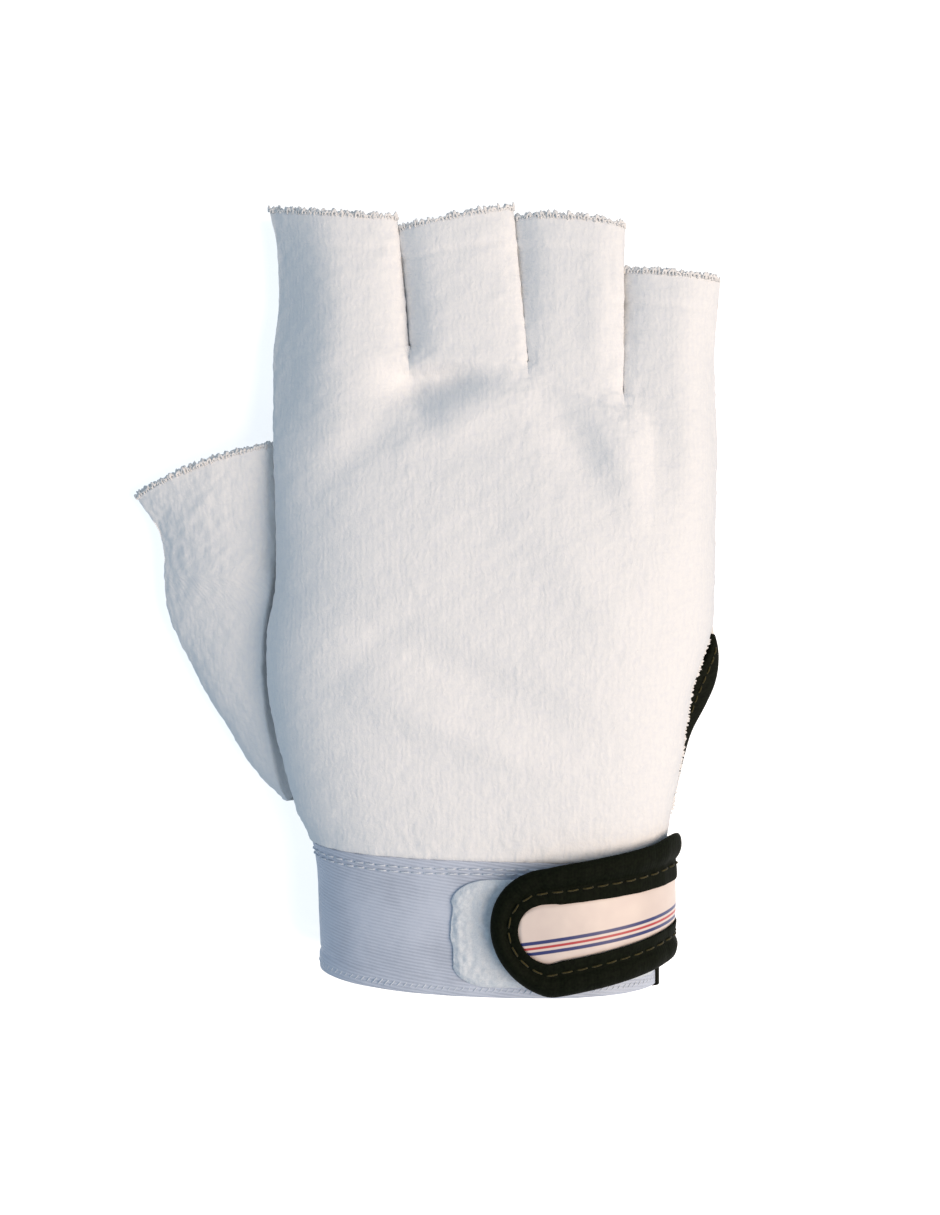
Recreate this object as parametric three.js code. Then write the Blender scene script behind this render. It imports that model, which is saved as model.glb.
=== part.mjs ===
// A fingerless tennis glove for the right hand, lying palm down with its fingers toward +Y, its thumb
// toward -X and +Z up. Millimetres. The surface that it lies on is z = 0.
import * as THREE from 'three';

// Driving dimensions

const SEAM_GAP = 0.3; // clearance left between neighbouring pieces
const TERRY = 2.0; // wall of the looped back and thumb
const LEATHER = 1.4; // wall of the palm panel
const TERRY_RIM = 2.2; // width of a terry panel's edge
const LEATHER_RIM = 1.5; // width of the palm panel's edge
const SLIT_TOP = -5; // y where the slit on the little finger side begins
const CUFF_SEAM = -57.6; // y where the terry ends and the elastic band begins
const WRIST_HEM = { left: -87.4, right: -91.2, bow: -1.2 }; // y of the wrist hem's ends and its bow
const BAND = { wall: 1.5, drop: 0.5 }; // the band lies a little lower than the terry's surface

// Outline and height of the hand, a row per cross section. left and right are the panel edges seen from
// above, palmRight is the palm's own edge along the slit, and the heights are those of the seams and of
// the highest line of the back.
const HAND = [
  { y: -93, left: -27.2, right: 53.0, palmRight: 55.2, leftSeam: 15.0, rightSeam: 16.5, crown: 32.0 },
  { y: -75, left: -27.8, right: 53.2, palmRight: 55.0, leftSeam: 15.0, rightSeam: 16.5, crown: 32.8 },
  { y: -62, left: -28.2, right: 53.8, palmRight: 55.0, leftSeam: 15.4, rightSeam: 16.5, crown: 33.4 },
  { y: -54, left: -29.8, right: 55.8, palmRight: 55.8, leftSeam: 15.8, rightSeam: 17.0, crown: 34.2 },
  { y: -49, left: -32.3, right: 57.4, palmRight: 57.6, leftSeam: 16.4, rightSeam: 17.8, crown: 35.0 },
  { y: -37, left: -35.4, right: 59.4, palmRight: 60.4, leftSeam: 17.0, rightSeam: 18.8, crown: 36.4 },
  { y: -27, left: -37.8, right: 60.7, palmRight: 64.4, leftSeam: 17.0, rightSeam: 19.0, crown: 37.2 },
  { y: -19, left: -38.8, right: 62.0, palmRight: 67.8, leftSeam: 17.0, rightSeam: 18.8, crown: 37.4 },
  { y: -12, left: -38.9, right: 64.6, palmRight: 68.8, leftSeam: 17.0, rightSeam: 16.6, crown: 37.2 },
  { y: -5, left: -38.7, right: 67.3, palmRight: 67.5, leftSeam: 17.0, rightSeam: 13.0, crown: 36.9 },
  { y: 4, left: -36.8, right: 67.6, palmRight: 67.6, leftSeam: 17.0, rightSeam: 12.4, crown: 36.2 },
  { y: 20, left: -36.5, right: 67.8, palmRight: 67.8, leftSeam: 17.0, rightSeam: 12.0, crown: 34.2 },
  { y: 38, left: -37.0, right: 68.1, palmRight: 68.1, leftSeam: 16.4, rightSeam: 11.6, crown: 30.4 },
  { y: 49, left: -37.2, right: 67.5, palmRight: 67.5, leftSeam: 12.4, rightSeam: 11.2, crown: 27.6 },
  { y: 60, left: -37.3, right: 67.3, palmRight: 67.3, leftSeam: 10.0, rightSeam: 10.8, crown: 25.0 },
  { y: 70, left: -36.2, right: 68.0, palmRight: 68.0, leftSeam: 9.0, rightSeam: 10.4, crown: 24.0 },
  { y: 78, left: -36.1, right: 68.5, palmRight: 68.5, leftSeam: 8.6, rightSeam: 10.2, crown: 23.0 },
  { y: 86, left: -36.6, right: 68.5, palmRight: 68.5, leftSeam: 8.4, rightSeam: 10.0, crown: 22.0 },
  { y: 93, left: -38.1, right: 68.5, palmRight: 68.5, leftSeam: 8.2, rightSeam: 10.0, crown: 21.0 },
];

// The palm panel's left edge: how far inside the back's edge it runs, and how far it drops toward the
// surface along the thumb hole
const PALM_LEFT = [
  { y: -93, inset: 0.9, drop: 0 },
  { y: -58, inset: 0.9, drop: 0 },
  { y: -50, inset: 0.6, drop: 0.8 },
  { y: -44, inset: 1.4, drop: 11.4 },
  { y: -38, inset: 1.4, drop: 13.8 },
  { y: 2, inset: 1.2, drop: 13.8 },
  { y: 7, inset: 2.2, drop: 9.0 },
  { y: 12, inset: 2.9, drop: 1.0 },
  { y: 20, inset: 3.0, drop: 0 },
  { y: 36, inset: 2.6, drop: 0 },
  { y: 46, inset: 0.6, drop: 0 },
  { y: 52, inset: 0, drop: 0 },
  { y: 93, inset: 0, drop: 0 },
];

// Fingers from the index to the little finger. base and hem are the places of the left and right edges,
// arch is how far the hem's middle stands out, and the heights are those of the finger's highest line.
const FINGERS = [
  {
    base: [[-37.3, 62.0], [-4.8, 61.0]],
    hem: [[-38.1, 92.9], [-7.6, 90.4]],
    arch: -0.6,
    edge: { left: 8.4, right: 14.4 },
    crown: { base: 23.4, hem: 18.0 },
  },
  {
    base: [[-4.8, 61.0], [22.8, 57.5]],
    hem: [[-9.2, 87.2], [19.4, 92.6]],
    arch: 0.4,
    edge: { left: 8.8, right: 14.6 },
    crown: { base: 24.0, hem: 18.0 },
  },
  {
    base: [[22.8, 57.5], [45.0, 50.0]],
    hem: [[17.9, 90.0], [45.5, 88.4]],
    arch: 1.2,
    edge: { left: 8.8, right: 13.8 },
    crown: { base: 23.4, hem: 17.8 },
  },
  {
    base: [[45.0, 50.0], [67.5, 48.0]],
    hem: [[43.9, 78.4], [68.5, 76.4]],
    arch: 0.2,
    edge: { left: 8.8, right: 10.2 },
    crown: { base: 21.6, hem: 16.4 },
  },
];

// Soft dents and ridges in the back: centre, direction in degrees, length, width and rise
const FOLDS = [
  { x: 4.5, y: 49.5, turn: 22, length: 10, width: 4.4, rise: -3.6 },
  { x: -3.0, y: 47.0, turn: -64, length: 9, width: 4.0, rise: -1.6 },
  { x: 5.0, y: 38.5, turn: 28, length: 14, width: 5.0, rise: 1.2 },
  { x: 38.0, y: 36.0, turn: -66, length: 10, width: 4.0, rise: -1.6 },
  { x: 46.0, y: 36.5, turn: -72, length: 9, width: 3.6, rise: 1.3 },
  { x: 53.0, y: 41.0, turn: -48, length: 8, width: 4.0, rise: -0.9 },
  { x: 39.5, y: 70.0, turn: 86, length: 12, width: 4.0, rise: 0.8 },
  { x: -18.0, y: 36.0, turn: 42, length: 13, width: 4.0, rise: -0.8 },
  { x: 12.0, y: -16.0, turn: -24, length: 20, width: 5.0, rise: -1.2 },
  { x: 2.0, y: -27.0, turn: -22, length: 20, width: 5.0, rise: 1.1 },
  { x: -14.0, y: -8.0, turn: 36, length: 16, width: 4.6, rise: -0.9 },
  { x: 34.0, y: 8.0, turn: -52, length: 20, width: 6.0, rise: 0.9 },
];

// Thumb: a row per cross section, from its lower point at the wrist to its hem. open is 1 where the
// section is open to the palm and 0 where it is a closed tube.
const THUMB = [
  { left: [-36.4, -48.0], right: [-33.6, -48.2], middle: 10.0, up: 4.2, down: 4.0, open: 1 },
  { left: [-41.8, -42.4], right: [-35.8, -42.6], middle: 9.0, up: 5.4, down: 6.4, open: 1 },
  { left: [-49.2, -31.4], right: [-37.4, -33.0], middle: 8.0, up: 7.4, down: 7.6, open: 1 },
  { left: [-55.6, -20.6], right: [-38.6, -24.0], middle: 8.0, up: 8.0, down: 7.7, open: 1 },
  { left: [-60.4, -11.0], right: [-38.8, -14.0], middle: 8.0, up: 8.2, down: 7.7, open: 1 },
  { left: [-64.0, -1.6], right: [-37.9, -4.0], middle: 8.0, up: 8.2, down: 7.7, open: 1 },
  { left: [-64.6, 5.6], right: [-36.6, 4.2], middle: 8.0, up: 8.2, down: 7.7, open: 0.6 },
  { left: [-64.6, 11.0], right: [-37.0, 11.5], middle: 8.2, up: 7.6, down: 7.8, open: 0 },
  { left: [-65.2, 15.4], right: [-37.2, 20.0], middle: 8.4, up: 7.2, down: 8.0, open: 0 },
  { left: [-67.4, 20.2], right: [-37.6, 29.0], middle: 8.4, up: 7.0, down: 8.0, open: 0 },
  { left: [-70.6, 25.2], right: [-38.2, 37.4], middle: 8.4, up: 7.0, down: 8.0, open: 0 },
];
// How far its upper wall runs in under the back panel, and how much of its height it keeps there before it
// turns up into the seam
const THUMB_TUCK = { reach: 3.4, height: 0.62 };
const THUMB_BOW = 2.0; // how far the hem's middle stands out

// Closure at the wrist. Lengths along the girth are measured from the palm's edge on the little finger
// side, negative toward the thumb over the back, and heights above the back's surface.
const PATCH = { left: -61.6, right: -8, top: -62.2, bottom: -88.0, corner: 9, wall: 1.0 };
const HOOK = { left: -42, right: -20, halfHeight: 9, wall: 0.9 };
const TAB = { tip: -50.0, root: 1.5, halfHeight: 15.8, taper: 1.5, overPalm: 0.3, dive: 12 };
const TAB_AXIS = { y: -74.0, from: -37, rise: 0.13, tipRise: 0.12 };
const TAB_CORE = { wall: 1.1 };
const INSERT = { wall: 0.8, rightTrim: 4 };
const TAPE = { width: 8.3, roll: 5.9, crown: 2.7, strip: 2.0 };
const SLIT_TAPE = { thick: 2.4 };

// The bound edge of the slit: outer lower corner, height of its foot, width and lean in degrees
const SLIT_EDGE = [
  { y: -7.0, x: 68.0, foot: 12.1, width: 1.4, lean: 20 },
  { y: -10.0, x: 68.9, foot: 12.1, width: 2.6, lean: 38 },
  { y: -14.0, x: 69.3, foot: 12.1, width: 5.2, lean: 54 },
  { y: -19.0, x: 68.5, foot: 12.2, width: 7.4, lean: 60 },
  { y: -24.0, x: 66.4, foot: 12.3, width: 7.2, lean: 59 },
  { y: -31.0, x: 62.9, foot: 12.5, width: 5.4, lean: 50 },
  { y: -38.0, x: 60.9, foot: 12.8, width: 4.2, lean: 38 },
  { y: -45.0, x: 59.2, foot: 13.2, width: 3.2, lean: 28 },
  { y: -50.6, x: 57.9, foot: 13.4, width: 2.4, lean: 22 },
];

const HEM_TAPE = { back: 2, deep: 2.9, wall: 1.7 }; // the palm panel stops before its bound wrist hem

// Small helpers

const lerp = THREE.MathUtils.lerp;
const clamp = THREE.MathUtils.clamp;
const smooth = (value, from, to) => THREE.MathUtils.smoothstep(value, from, to);
const ease = (part) => 0.5 - 0.5 * Math.cos(Math.PI * part);
const point = (x, y, z) => new THREE.Vector3(x, y, z);

// Value of one column of a table at key, on a smooth curve through its rows
function along(table, key, column, at) {
  const last = table.length - 1;
  const where = clamp(at, table[0][key], table[last][key]);
  let row = 0;
  while (row < last - 1 && where > table[row + 1][key]) row += 1;
  const slope = (index) => {
    const before = table[Math.max(index - 1, 0)];
    const after = table[Math.min(index + 1, last)];
    return (after[column] - before[column]) / (after[key] - before[key]);
  };
  const start = table[row];
  const end = table[row + 1];
  const span = end[key] - start[key];
  const part = (where - start[key]) / span;
  const square = part * part;
  const cube = square * part;
  return (
    start[column] * (2 * cube - 3 * square + 1) +
    end[column] * (3 * square - 2 * cube) +
    slope(row) * span * (cube - 2 * square + part) +
    slope(row + 1) * span * (cube - square)
  );
}

const hand = (column, y) => along(HAND, 'y', column, y);
const hemBow = (part) => WRIST_HEM.bow * Math.sin(Math.PI * part);
const hemY = (part) => lerp(WRIST_HEM.left, WRIST_HEM.right, part) + hemBow(part);

// A closed sheet of cloth: an outer skin, an inner skin and rims along every open border
class Sheet {
  constructor(flipped = false) {
    this.flipped = flipped;
    this.numbers = new Map();
    this.outer = [];
    this.inner = [];
    this.faces = [];
  }

  vertex(name, outer, inner) {
    if (!this.numbers.has(name)) {
      this.numbers.set(name, this.outer.length);
      this.outer.push(outer);
      this.inner.push(inner);
    }
    return this.numbers.get(name);
  }

  // Four corners, counter-clockwise seen from outside
  quad(a, b, c, d) {
    const corners = this.flipped ? [d, c, b, a] : [a, b, c, d];
    this.faces.push([corners[0], corners[1], corners[2]]);
    this.faces.push([corners[0], corners[2], corners[3]]);
  }

  geometry() {
    const offset = this.outer.length;
    const directed = new Set();
    for (const face of this.faces) {
      face.forEach((from, corner) => directed.add(`${from}>${face[(corner + 1) % 3]}`));
    }
    const triangles = [];
    for (const face of this.faces) {
      const [a, b, c] = face;
      triangles.push(a, b, c);
      triangles.push(c + offset, b + offset, a + offset);
      face.forEach((from, corner) => {
        const to = face[(corner + 1) % 3];
        if (!directed.has(`${to}>${from}`)) {
          triangles.push(to, from, from + offset);
          triangles.push(to, from + offset, to + offset);
        }
      });
    }
    return solid([...this.outer, ...this.inner], triangles);
  }
}

function solid(points, triangles) {
  const geometry = new THREE.BufferGeometry();
  const positions = points.flatMap((place) => [place.x, place.y, place.z]);
  geometry.setAttribute('position', new THREE.Float32BufferAttribute(positions, 3));
  geometry.setIndex(triangles);
  geometry.computeVertexNormals();
  return geometry;
}

// A solid through a row of rings of equal length, closed by a fan at each end
function sweep(rings) {
  const size = rings[0].length;
  const points = rings.flat();
  const triangles = [];
  for (let ring = 0; ring + 1 < rings.length; ring += 1) {
    for (let side = 0; side < size; side += 1) {
      const a = ring * size + side;
      const b = ring * size + ((side + 1) % size);
      triangles.push(a, b, b + size);
      triangles.push(a, b + size, a + size);
    }
  }
  const middle = (ring) => {
    const sum = ring.reduce((total, place) => total.add(place), point(0, 0, 0));
    return sum.divideScalar(ring.length);
  };
  const first = points.push(middle(rings[0])) - 1;
  const last = points.push(middle(rings[rings.length - 1])) - 1;
  const start = (rings.length - 1) * size;
  for (let side = 0; side < size; side += 1) {
    const next = (side + 1) % size;
    triangles.push(first, next, side);
    triangles.push(last, start + side, start + next);
  }
  return solid(points, triangles);
}

// Shape of the hand

const PALM_CURVE = { flat: 2.6, round: 0.55 };
const FINGER_CURVE = { flat: 2.1, round: 0.9 };
const WRIST_CURVE = { flat: 2.4, round: 0.5 };

// 0 at both edges and 1 in the middle
function arch(part, curve) {
  const side = Math.abs(2 * clamp(part, 0, 1) - 1);
  return Math.max(0, 1 - side ** curve.flat) ** curve.round;
}

function handArch(part, y) {
  const wrist = 1 - smooth(y, CUFF_SEAM - 2, CUFF_SEAM + 26);
  return lerp(arch(part, PALM_CURVE), arch(part, WRIST_CURVE), wrist);
}

function foldRise(x, y) {
  let rise = 0;
  for (const fold of FOLDS) {
    const turn = THREE.MathUtils.degToRad(fold.turn);
    const across = [x - fold.x, y - fold.y];
    const u = (across[0] * Math.cos(turn) + across[1] * Math.sin(turn)) / fold.length;
    const v = (across[1] * Math.cos(turn) - across[0] * Math.sin(turn)) / fold.width;
    rise += fold.rise * Math.exp(-u * u - v * v);
  }
  return rise;
}

// The palm panel's left edge, seen from above
const palmLeft = (y) => hand('left', y) + along(PALM_LEFT, 'y', 'inset', y);

// Edge of one panel at a height y: where it is seen from above and how high its seam lies
function panelEdges(panel, y) {
  if (panel.back) {
    return {
      left: [hand('left', y), hand('leftSeam', y)],
      right: [hand('right', y), hand('rightSeam', y)],
    };
  }
  const slit = smooth(-y, -SLIT_TOP - 1, -SLIT_TOP + 3);
  const wrist = smooth(-y, 40, 56);
  const rightSeam = lerp(hand('rightSeam', y), lerp(12, 13.8, wrist), slit);
  return {
    left: [palmLeft(y), hand('leftSeam', y) - along(PALM_LEFT, 'y', 'drop', y)],
    right: [hand('palmRight', y), rightSeam],
  };
}

// Row of section heights from the wrist to the finger roots, closer together near the roots
const PALM_ROWS = 20;
const FINGER_ROWS = 6;
const CROTCH_PINCH = 5; // how fast the valley between two fingers rises again below its root
const KNUCKLE_REACH = 42; // how far down the back the finger shapes can be felt

// Place of a grid line across the hand: strip is the finger, part runs over it from left to right
function crotchLine(strip, part) {
  const [start, end] = FINGERS[strip].base;
  return [lerp(start[0], end[0], part), lerp(start[1], end[1], part)];
}

function stripFraction(strip, part) {
  const from = FINGERS[0].base[0][0];
  const to = FINGERS[3].base[1][0];
  return (crotchLine(strip, part)[0] - from) / (to - from);
}

const ROOT_LEVEL = 12.6; // height of the seams where two fingers meet

// Height of the valley or of the pinch between fingers, at a distance below their root
function pinch(edge, distance, level) {
  return lerp(level, edge, Math.exp(-distance / CROTCH_PINCH));
}

// A point of a panel between the wrist and the finger roots. skin is 0 outside and 1 inside.
function palmPoint(panel, strip, part, y, distance, skin) {
  const edges = panelEdges(panel, y);
  const rim = panel.rim * skin;
  const extra = panel.back ? panel.thumbRim * skin * smooth(y, -50, -42) * (1 - smooth(y, 38, 48)) : 0;
  const left = edges.left[0] + rim + extra;
  const right = edges.right[0] - rim;
  const fraction = stripFraction(strip, part);
  const x = lerp(left, right, fraction);
  const edge = lerp(edges.left[1], edges.right[1], fraction) + panel.seamShift;
  const shape = handArch(fraction, y);
  const finger = FINGERS[strip];
  const fingerEdge = ROOT_LEVEL + panel.seamShift;
  const share = 1 - smooth(distance, 0, KNUCKLE_REACH);
  const lens = arch(part, FINGER_CURVE);
  const outer = (strip === 0 && part === 0) || (strip === 3 && part === 1);
  let z;
  if (panel.back) {
    const dome = edge + (hand('crown', y) - panel.wall * skin - edge) * shape;
    const valley = outer ? edge : pinch(fingerEdge, distance, dome - 3);
    const sideLevel = sideLevels(strip, part, edge, valley);
    const top = finger.crown.base + distance * 0.2 - panel.wall * skin;
    const knuckle = sideLevel + Math.max(top - sideLevel, 0) * lens;
    z = lerp(dome, knuckle, share);
    z += foldRise(x, y) * shape * (1 - Math.exp(-distance / 6));
  } else {
    const dome = Math.max(0, edge * (1 - 1.25 * shape));
    const valley = outer ? edge : pinch(fingerEdge, distance, 0);
    const sideLevel = sideLevels(strip, part, edge, valley);
    const knuckle = Math.max(0, sideLevel * (1 - 1.3 * lens));
    z = lerp(dome, knuckle, share) + panel.wall * skin * Math.min(1, 1.4 * shape + lens * share);
  }
  return point(x, y, z);
}

// Level between a finger's two sides, where the hand's own outer edges keep their seam height
function sideLevels(strip, part, edge, valley) {
  if (strip === 0) return lerp(edge, valley, smooth(part, 0, 1));
  if (strip === 3) return lerp(valley, edge, smooth(part, 0, 1));
  return valley;
}

// A point of a finger: along runs from the root to the hem
function fingerPoint(panel, strip, part, run, skin) {
  const finger = FINGERS[strip];
  const base = crotchLine(strip, part);
  const [start, end] = finger.hem;
  const hemY = lerp(start[1], end[1], part) + finger.arch * arch(part, FINGER_CURVE);
  const y = lerp(base[1], hemY, run);
  const span = (side) => lerp(finger.base[side][0], finger.hem[side][0], run);
  let left = span(0);
  let right = span(1);
  if (strip === 0) left = hand('left', y);
  if (strip === 3) right = hand('right', y);
  const rim = panel.rim * skin;
  const x = lerp(left + rim, right - rim, part);
  const settle = smooth(run, 0, 0.4);
  const rootLeft = strip === 0 ? hand('leftSeam', y) : ROOT_LEVEL;
  const rootRight = strip === 3 ? hand('rightSeam', y) : ROOT_LEVEL;
  const leftEdge = lerp(rootLeft, finger.edge.left, settle);
  const rightEdge = lerp(rootRight, finger.edge.right, settle);
  const edge = lerp(leftEdge, rightEdge, part) + panel.seamShift;
  const lens = arch(part, FINGER_CURVE);
  let z;
  if (panel.back) {
    const crown = lerp(finger.crown.base, finger.crown.hem, run) - panel.wall * skin;
    z = edge + (crown - edge) * lens + foldRise(x, y) * lens;
  } else {
    z = Math.max(0, edge * (1 - 1.3 * lens)) + panel.wall * skin * Math.min(1, 1.5 * lens);
  }
  return point(x, y, z);
}

// One panel of the hand, a comb whose four teeth are the finger halves
function handPanel(panel) {
  const sheet = new Sheet(!panel.back);
  const rows = PALM_ROWS + FINGER_ROWS;
  const steps = panel.columns;
  const corner = (strip, step, row) => {
    const part = ease(step / steps);
    const shared = row <= PALM_ROWS;
    const name = shared ? `${strip * steps + step},${row}` : `${strip}.${step},${row}`;
    if (row >= PALM_ROWS) {
      const run = (row - PALM_ROWS) / FINGER_ROWS;
      const outer = fingerPoint(panel, strip, part, run, 0);
      const inner = fingerPoint(panel, strip, part, run, 1);
      const between = (step === 0 && strip > 0) || (step === steps && strip < 3);
      if (row === PALM_ROWS && between) {
        inner.x = outer.x;
        inner.y = outer.y - panel.rim;
      }
      return sheet.vertex(name, outer, inner);
    }
    const run = 1 - (1 - row / PALM_ROWS) ** 1.4;
    const root = crotchLine(strip, part)[1];
    const y = lerp(panel.bottom(strip, part), root, run);
    const outer = palmPoint(panel, strip, part, y, root - y, 0);
    const inner = palmPoint(panel, strip, part, y, root - y, 1);
    return sheet.vertex(name, outer, inner);
  };
  for (let strip = 0; strip < 4; strip += 1) {
    for (let step = 0; step < steps; step += 1) {
      for (let row = 0; row < rows; row += 1) {
        sheet.quad(
          corner(strip, step, row),
          corner(strip, step + 1, row),
          corner(strip, step + 1, row + 1),
          corner(strip, step, row + 1),
        );
      }
    }
  }
  return sheet.geometry();
}

// The looped back of the hand and of the fingers
function backPanel() {
  return handPanel({
    back: true,
    wall: TERRY,
    rim: TERRY_RIM,
    thumbRim: 2.4,
    seamShift: 0,
    columns: 8,
    bottom: () => CUFF_SEAM,
  });
}

// The smooth palm panel, flat where the glove rests on it
function palmPanel() {
  return handPanel({
    back: false,
    wall: LEATHER,
    rim: LEATHER_RIM,
    seamShift: -SEAM_GAP,
    columns: 6,
    bottom: (strip, part) => hemY(stripFraction(strip, part)) + HEM_TAPE.back,
  });
}

// The thumb: a tube whose right side opens into the palm
function thumbPoint(row, around, skin) {
  const at = (column) => along(THUMB_ROWS, 'row', column, row);
  const upper = around <= 0.5;
  const part = ease(upper ? 2 * around : 2 - 2 * around);
  const open = clamp(at('open'), 0, 1);
  const lens = arch(1 - part, FINGER_CURVE);
  const quarter = Math.max(0, 1 - part ** 2.4) ** 0.7;
  const shape = lerp(lens, quarter, open * (upper ? THUMB_TUCK.height : 1));
  const inset = 2.1 * skin;
  const seamY = at('rightY');
  const seamX = upper ? at('rightX') + THUMB_TUCK.reach : palmLeft(seamY) - SEAM_GAP;
  const rightX = lerp(at('rightX') - inset, seamX, open);
  const leftX = at('leftX') + inset;
  const x = lerp(rightX, leftX, part);
  const bow = THUMB_BOW * smooth(row, 6, THUMB.length - 1) * arch(part, FINGER_CURVE);
  const y = lerp(at('rightY'), at('leftY'), part) + bow;
  if (around === 0) {
    const turnedUp = hand('leftSeam', seamY) - SEAM_GAP;
    return point(x + TERRY * skin * open, y, lerp(at('middle'), turnedUp, open));
  }
  const rise = upper ? at('up') - TERRY * skin : -(at('down') - TERRY * skin);
  return point(x, y, at('middle') + rise * shape);
}

const THUMB_ROWS = THUMB.map((section, row) => ({
  row,
  leftX: section.left[0],
  leftY: section.left[1],
  rightX: section.right[0],
  rightY: section.right[1],
  middle: section.middle,
  up: section.up,
  down: section.down,
  open: section.open,
}));

function thumbTube() {
  const sheet = new Sheet();
  const sides = 20;
  const rows = THUMB.length - 1;
  const closedFrom = THUMB.findIndex((section) => section.open === 0);
  const corner = (step, row) => {
    const zipped = row >= closedFrom && step === sides;
    const name = zipped ? `0,${row}` : `${step},${row}`;
    const outer = thumbPoint(row, step / sides, 0);
    const inner = thumbPoint(row, step / sides, 1);
    if (row === closedFrom && (step === 0 || step === sides)) {
      inner.x = outer.x;
      inner.y = outer.y - TERRY_RIM;
    }
    return sheet.vertex(name, outer, inner);
  };
  for (let step = 0; step < sides; step += 1) {
    for (let row = 0; row < rows; row += 1) {
      sheet.quad(corner(step + 1, row), corner(step, row), corner(step, row + 1), corner(step + 1, row + 1));
    }
  }
  return sheet.geometry();
}

// Girth of the wrist: turn runs from 0 at the thumb side over the back to 1 at the little finger side,
// and on under the palm to 2
function wristLoop(turn, y) {
  const under = turn > 1;
  const part = ease(under ? 2 - turn : turn);
  const leftSeam = hand('leftSeam', y);
  const edge = lerp(leftSeam, 14, part);
  const x = lerp(hand('left', y), hand('palmRight', y), part);
  const shape = handArch(part, y);
  const z = under ? Math.max(0, edge * (1 - 1.25 * shape)) : edge + (hand('crown', y) - edge) * shape;
  return point(x, y, z);
}

const GIRTH_Y = -72;
const GIRTH = girthTable();

function girthTable() {
  const steps = 240;
  const table = [{ turn: 0, length: 0 }];
  let before = wristLoop(0, GIRTH_Y);
  for (let step = 1; step <= steps; step += 1) {
    const turn = (1.6 * step) / steps;
    const here = wristLoop(turn, GIRTH_Y);
    table.push({ turn, length: table[step - 1].length + here.distanceTo(before) });
    before = here;
  }
  const edge = table.find((row) => row.turn >= 1).length;
  return table.map((row) => ({ turn: row.turn, length: row.length - edge }));
}

// A place on the wrist: girth in millimetres from the palm's edge, y, and height above the surface
function wrap(girth, y, height) {
  const where = clamp(girth, GIRTH[0].length + 0.01, GIRTH[GIRTH.length - 1].length - 0.01);
  const turn = along(GIRTH, 'length', 'turn', where);
  const before = wristLoop(Math.max(turn - 0.03, 0.001), y);
  const after = wristLoop(turn + 0.03, y);
  const tangent = after.sub(before).normalize();
  const normal = point(-tangent.z, 0, tangent.x);
  return wristLoop(turn, y).addScaledVector(normal, height);
}

// A plate on the wrist: outline(u, v) gives girth and y for u along it and v across it
function wristPlate(columns, rows, outline, under, over) {
  const sheet = new Sheet();
  const corner = (column, row) => {
    const [girth, y] = outline(column / columns, row / rows);
    const outer = wrap(girth, y, over(girth));
    const inner = wrap(girth, y, under(girth));
    return sheet.vertex(`${column},${row}`, outer, inner);
  };
  for (let column = 0; column < columns; column += 1) {
    for (let row = 0; row < rows; row += 1) {
      sheet.quad(
        corner(column, row),
        corner(column + 1, row),
        corner(column + 1, row + 1),
        corner(column, row + 1),
      );
    }
  }
  return sheet.geometry();
}

// The elastic band over the back of the wrist
function wristBand() {
  const left = GIRTH[0].length + 0.6;
  const right = -5.5;
  const outline = (u, v) => [lerp(left, right, u), lerp(hemY(u), CUFF_SEAM - SEAM_GAP, v)];
  return wristPlate(30, 6, outline, () => -BAND.drop - BAND.wall, () => -BAND.drop);
}

// The narrow tape that binds the band's edge at the slit
function bandSlitTape() {
  const outline = (u, v) => [lerp(-5.1, -2.4, u), lerp(WRIST_HEM.right - 0.6, CUFF_SEAM - 1, v)];
  return wristPlate(2, 6, outline, () => -BAND.drop - BAND.wall, () => 0.1);
}

// Undersides of the layers of the fastener, from the band up
const LEVEL = { patch: -BAND.drop + SEAM_GAP };
LEVEL.hook = LEVEL.patch + PATCH.wall + SEAM_GAP;
LEVEL.tab = LEVEL.hook + HOOK.wall + SEAM_GAP;

// The looped half of the fastener, sewn on the band, with a rounded left end
function loopPatch() {
  const middle = (PATCH.top + PATCH.bottom) / 2;
  const half = (PATCH.top - PATCH.bottom) / 2;
  const outline = (u, v) => {
    const girth = lerp(PATCH.left, PATCH.right, u ** 1.4);
    const nearEnd = clamp((girth - PATCH.left) / PATCH.corner, 0, 1);
    const height = half * (0.55 + 0.45 * Math.sqrt(1 - (1 - nearEnd) ** 2));
    return [girth, middle + height * (2 * v - 1)];
  };
  return wristPlate(18, 4, outline, () => LEVEL.patch, () => LEVEL.patch + PATCH.wall);
}

// Closure tab

// How much of its height the tab has at a girth: it dives to the palm's edge at its root
function tabLift(girth) {
  return lerp(LEVEL.tab, TAB.overPalm, smooth(girth, TAB.root - TAB.dive, TAB.root));
}

// The tab's axis rises toward its root, and a little toward its tip
function tabSlope(girth) {
  return girth > TAB_AXIS.from ? TAB_AXIS.rise : -TAB_AXIS.tipRise;
}

function tabTaper(girth) {
  return TAB.taper * smooth(girth, TAB_AXIS.from, TAB.root);
}

function tabMiddle(girth) {
  return TAB_AXIS.y + tabSlope(girth) * (girth - TAB_AXIS.from);
}

// Outline of the tab, inset from its edge: u runs from the round tip to the root
function tabOutline(inset, root) {
  const radius = TAB.halfHeight - inset;
  const tip = TAB.tip + inset;
  return (u, v) => {
    const bend = 0.45;
    const round = u < bend ? radius * (1 - Math.cos((0.06 + 0.94 * (u / bend)) * (Math.PI / 2))) : radius;
    const girth = tip + round + Math.max(0, (u - bend) / (1 - bend)) * (root - tip - radius);
    const beyond = Math.max(0, 1 - round / radius);
    const half = radius * Math.sqrt(1 - beyond ** 2) - tabTaper(girth);
    return [girth, tabMiddle(girth) + half * (2 * v - 1)];
  };
}

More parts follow.
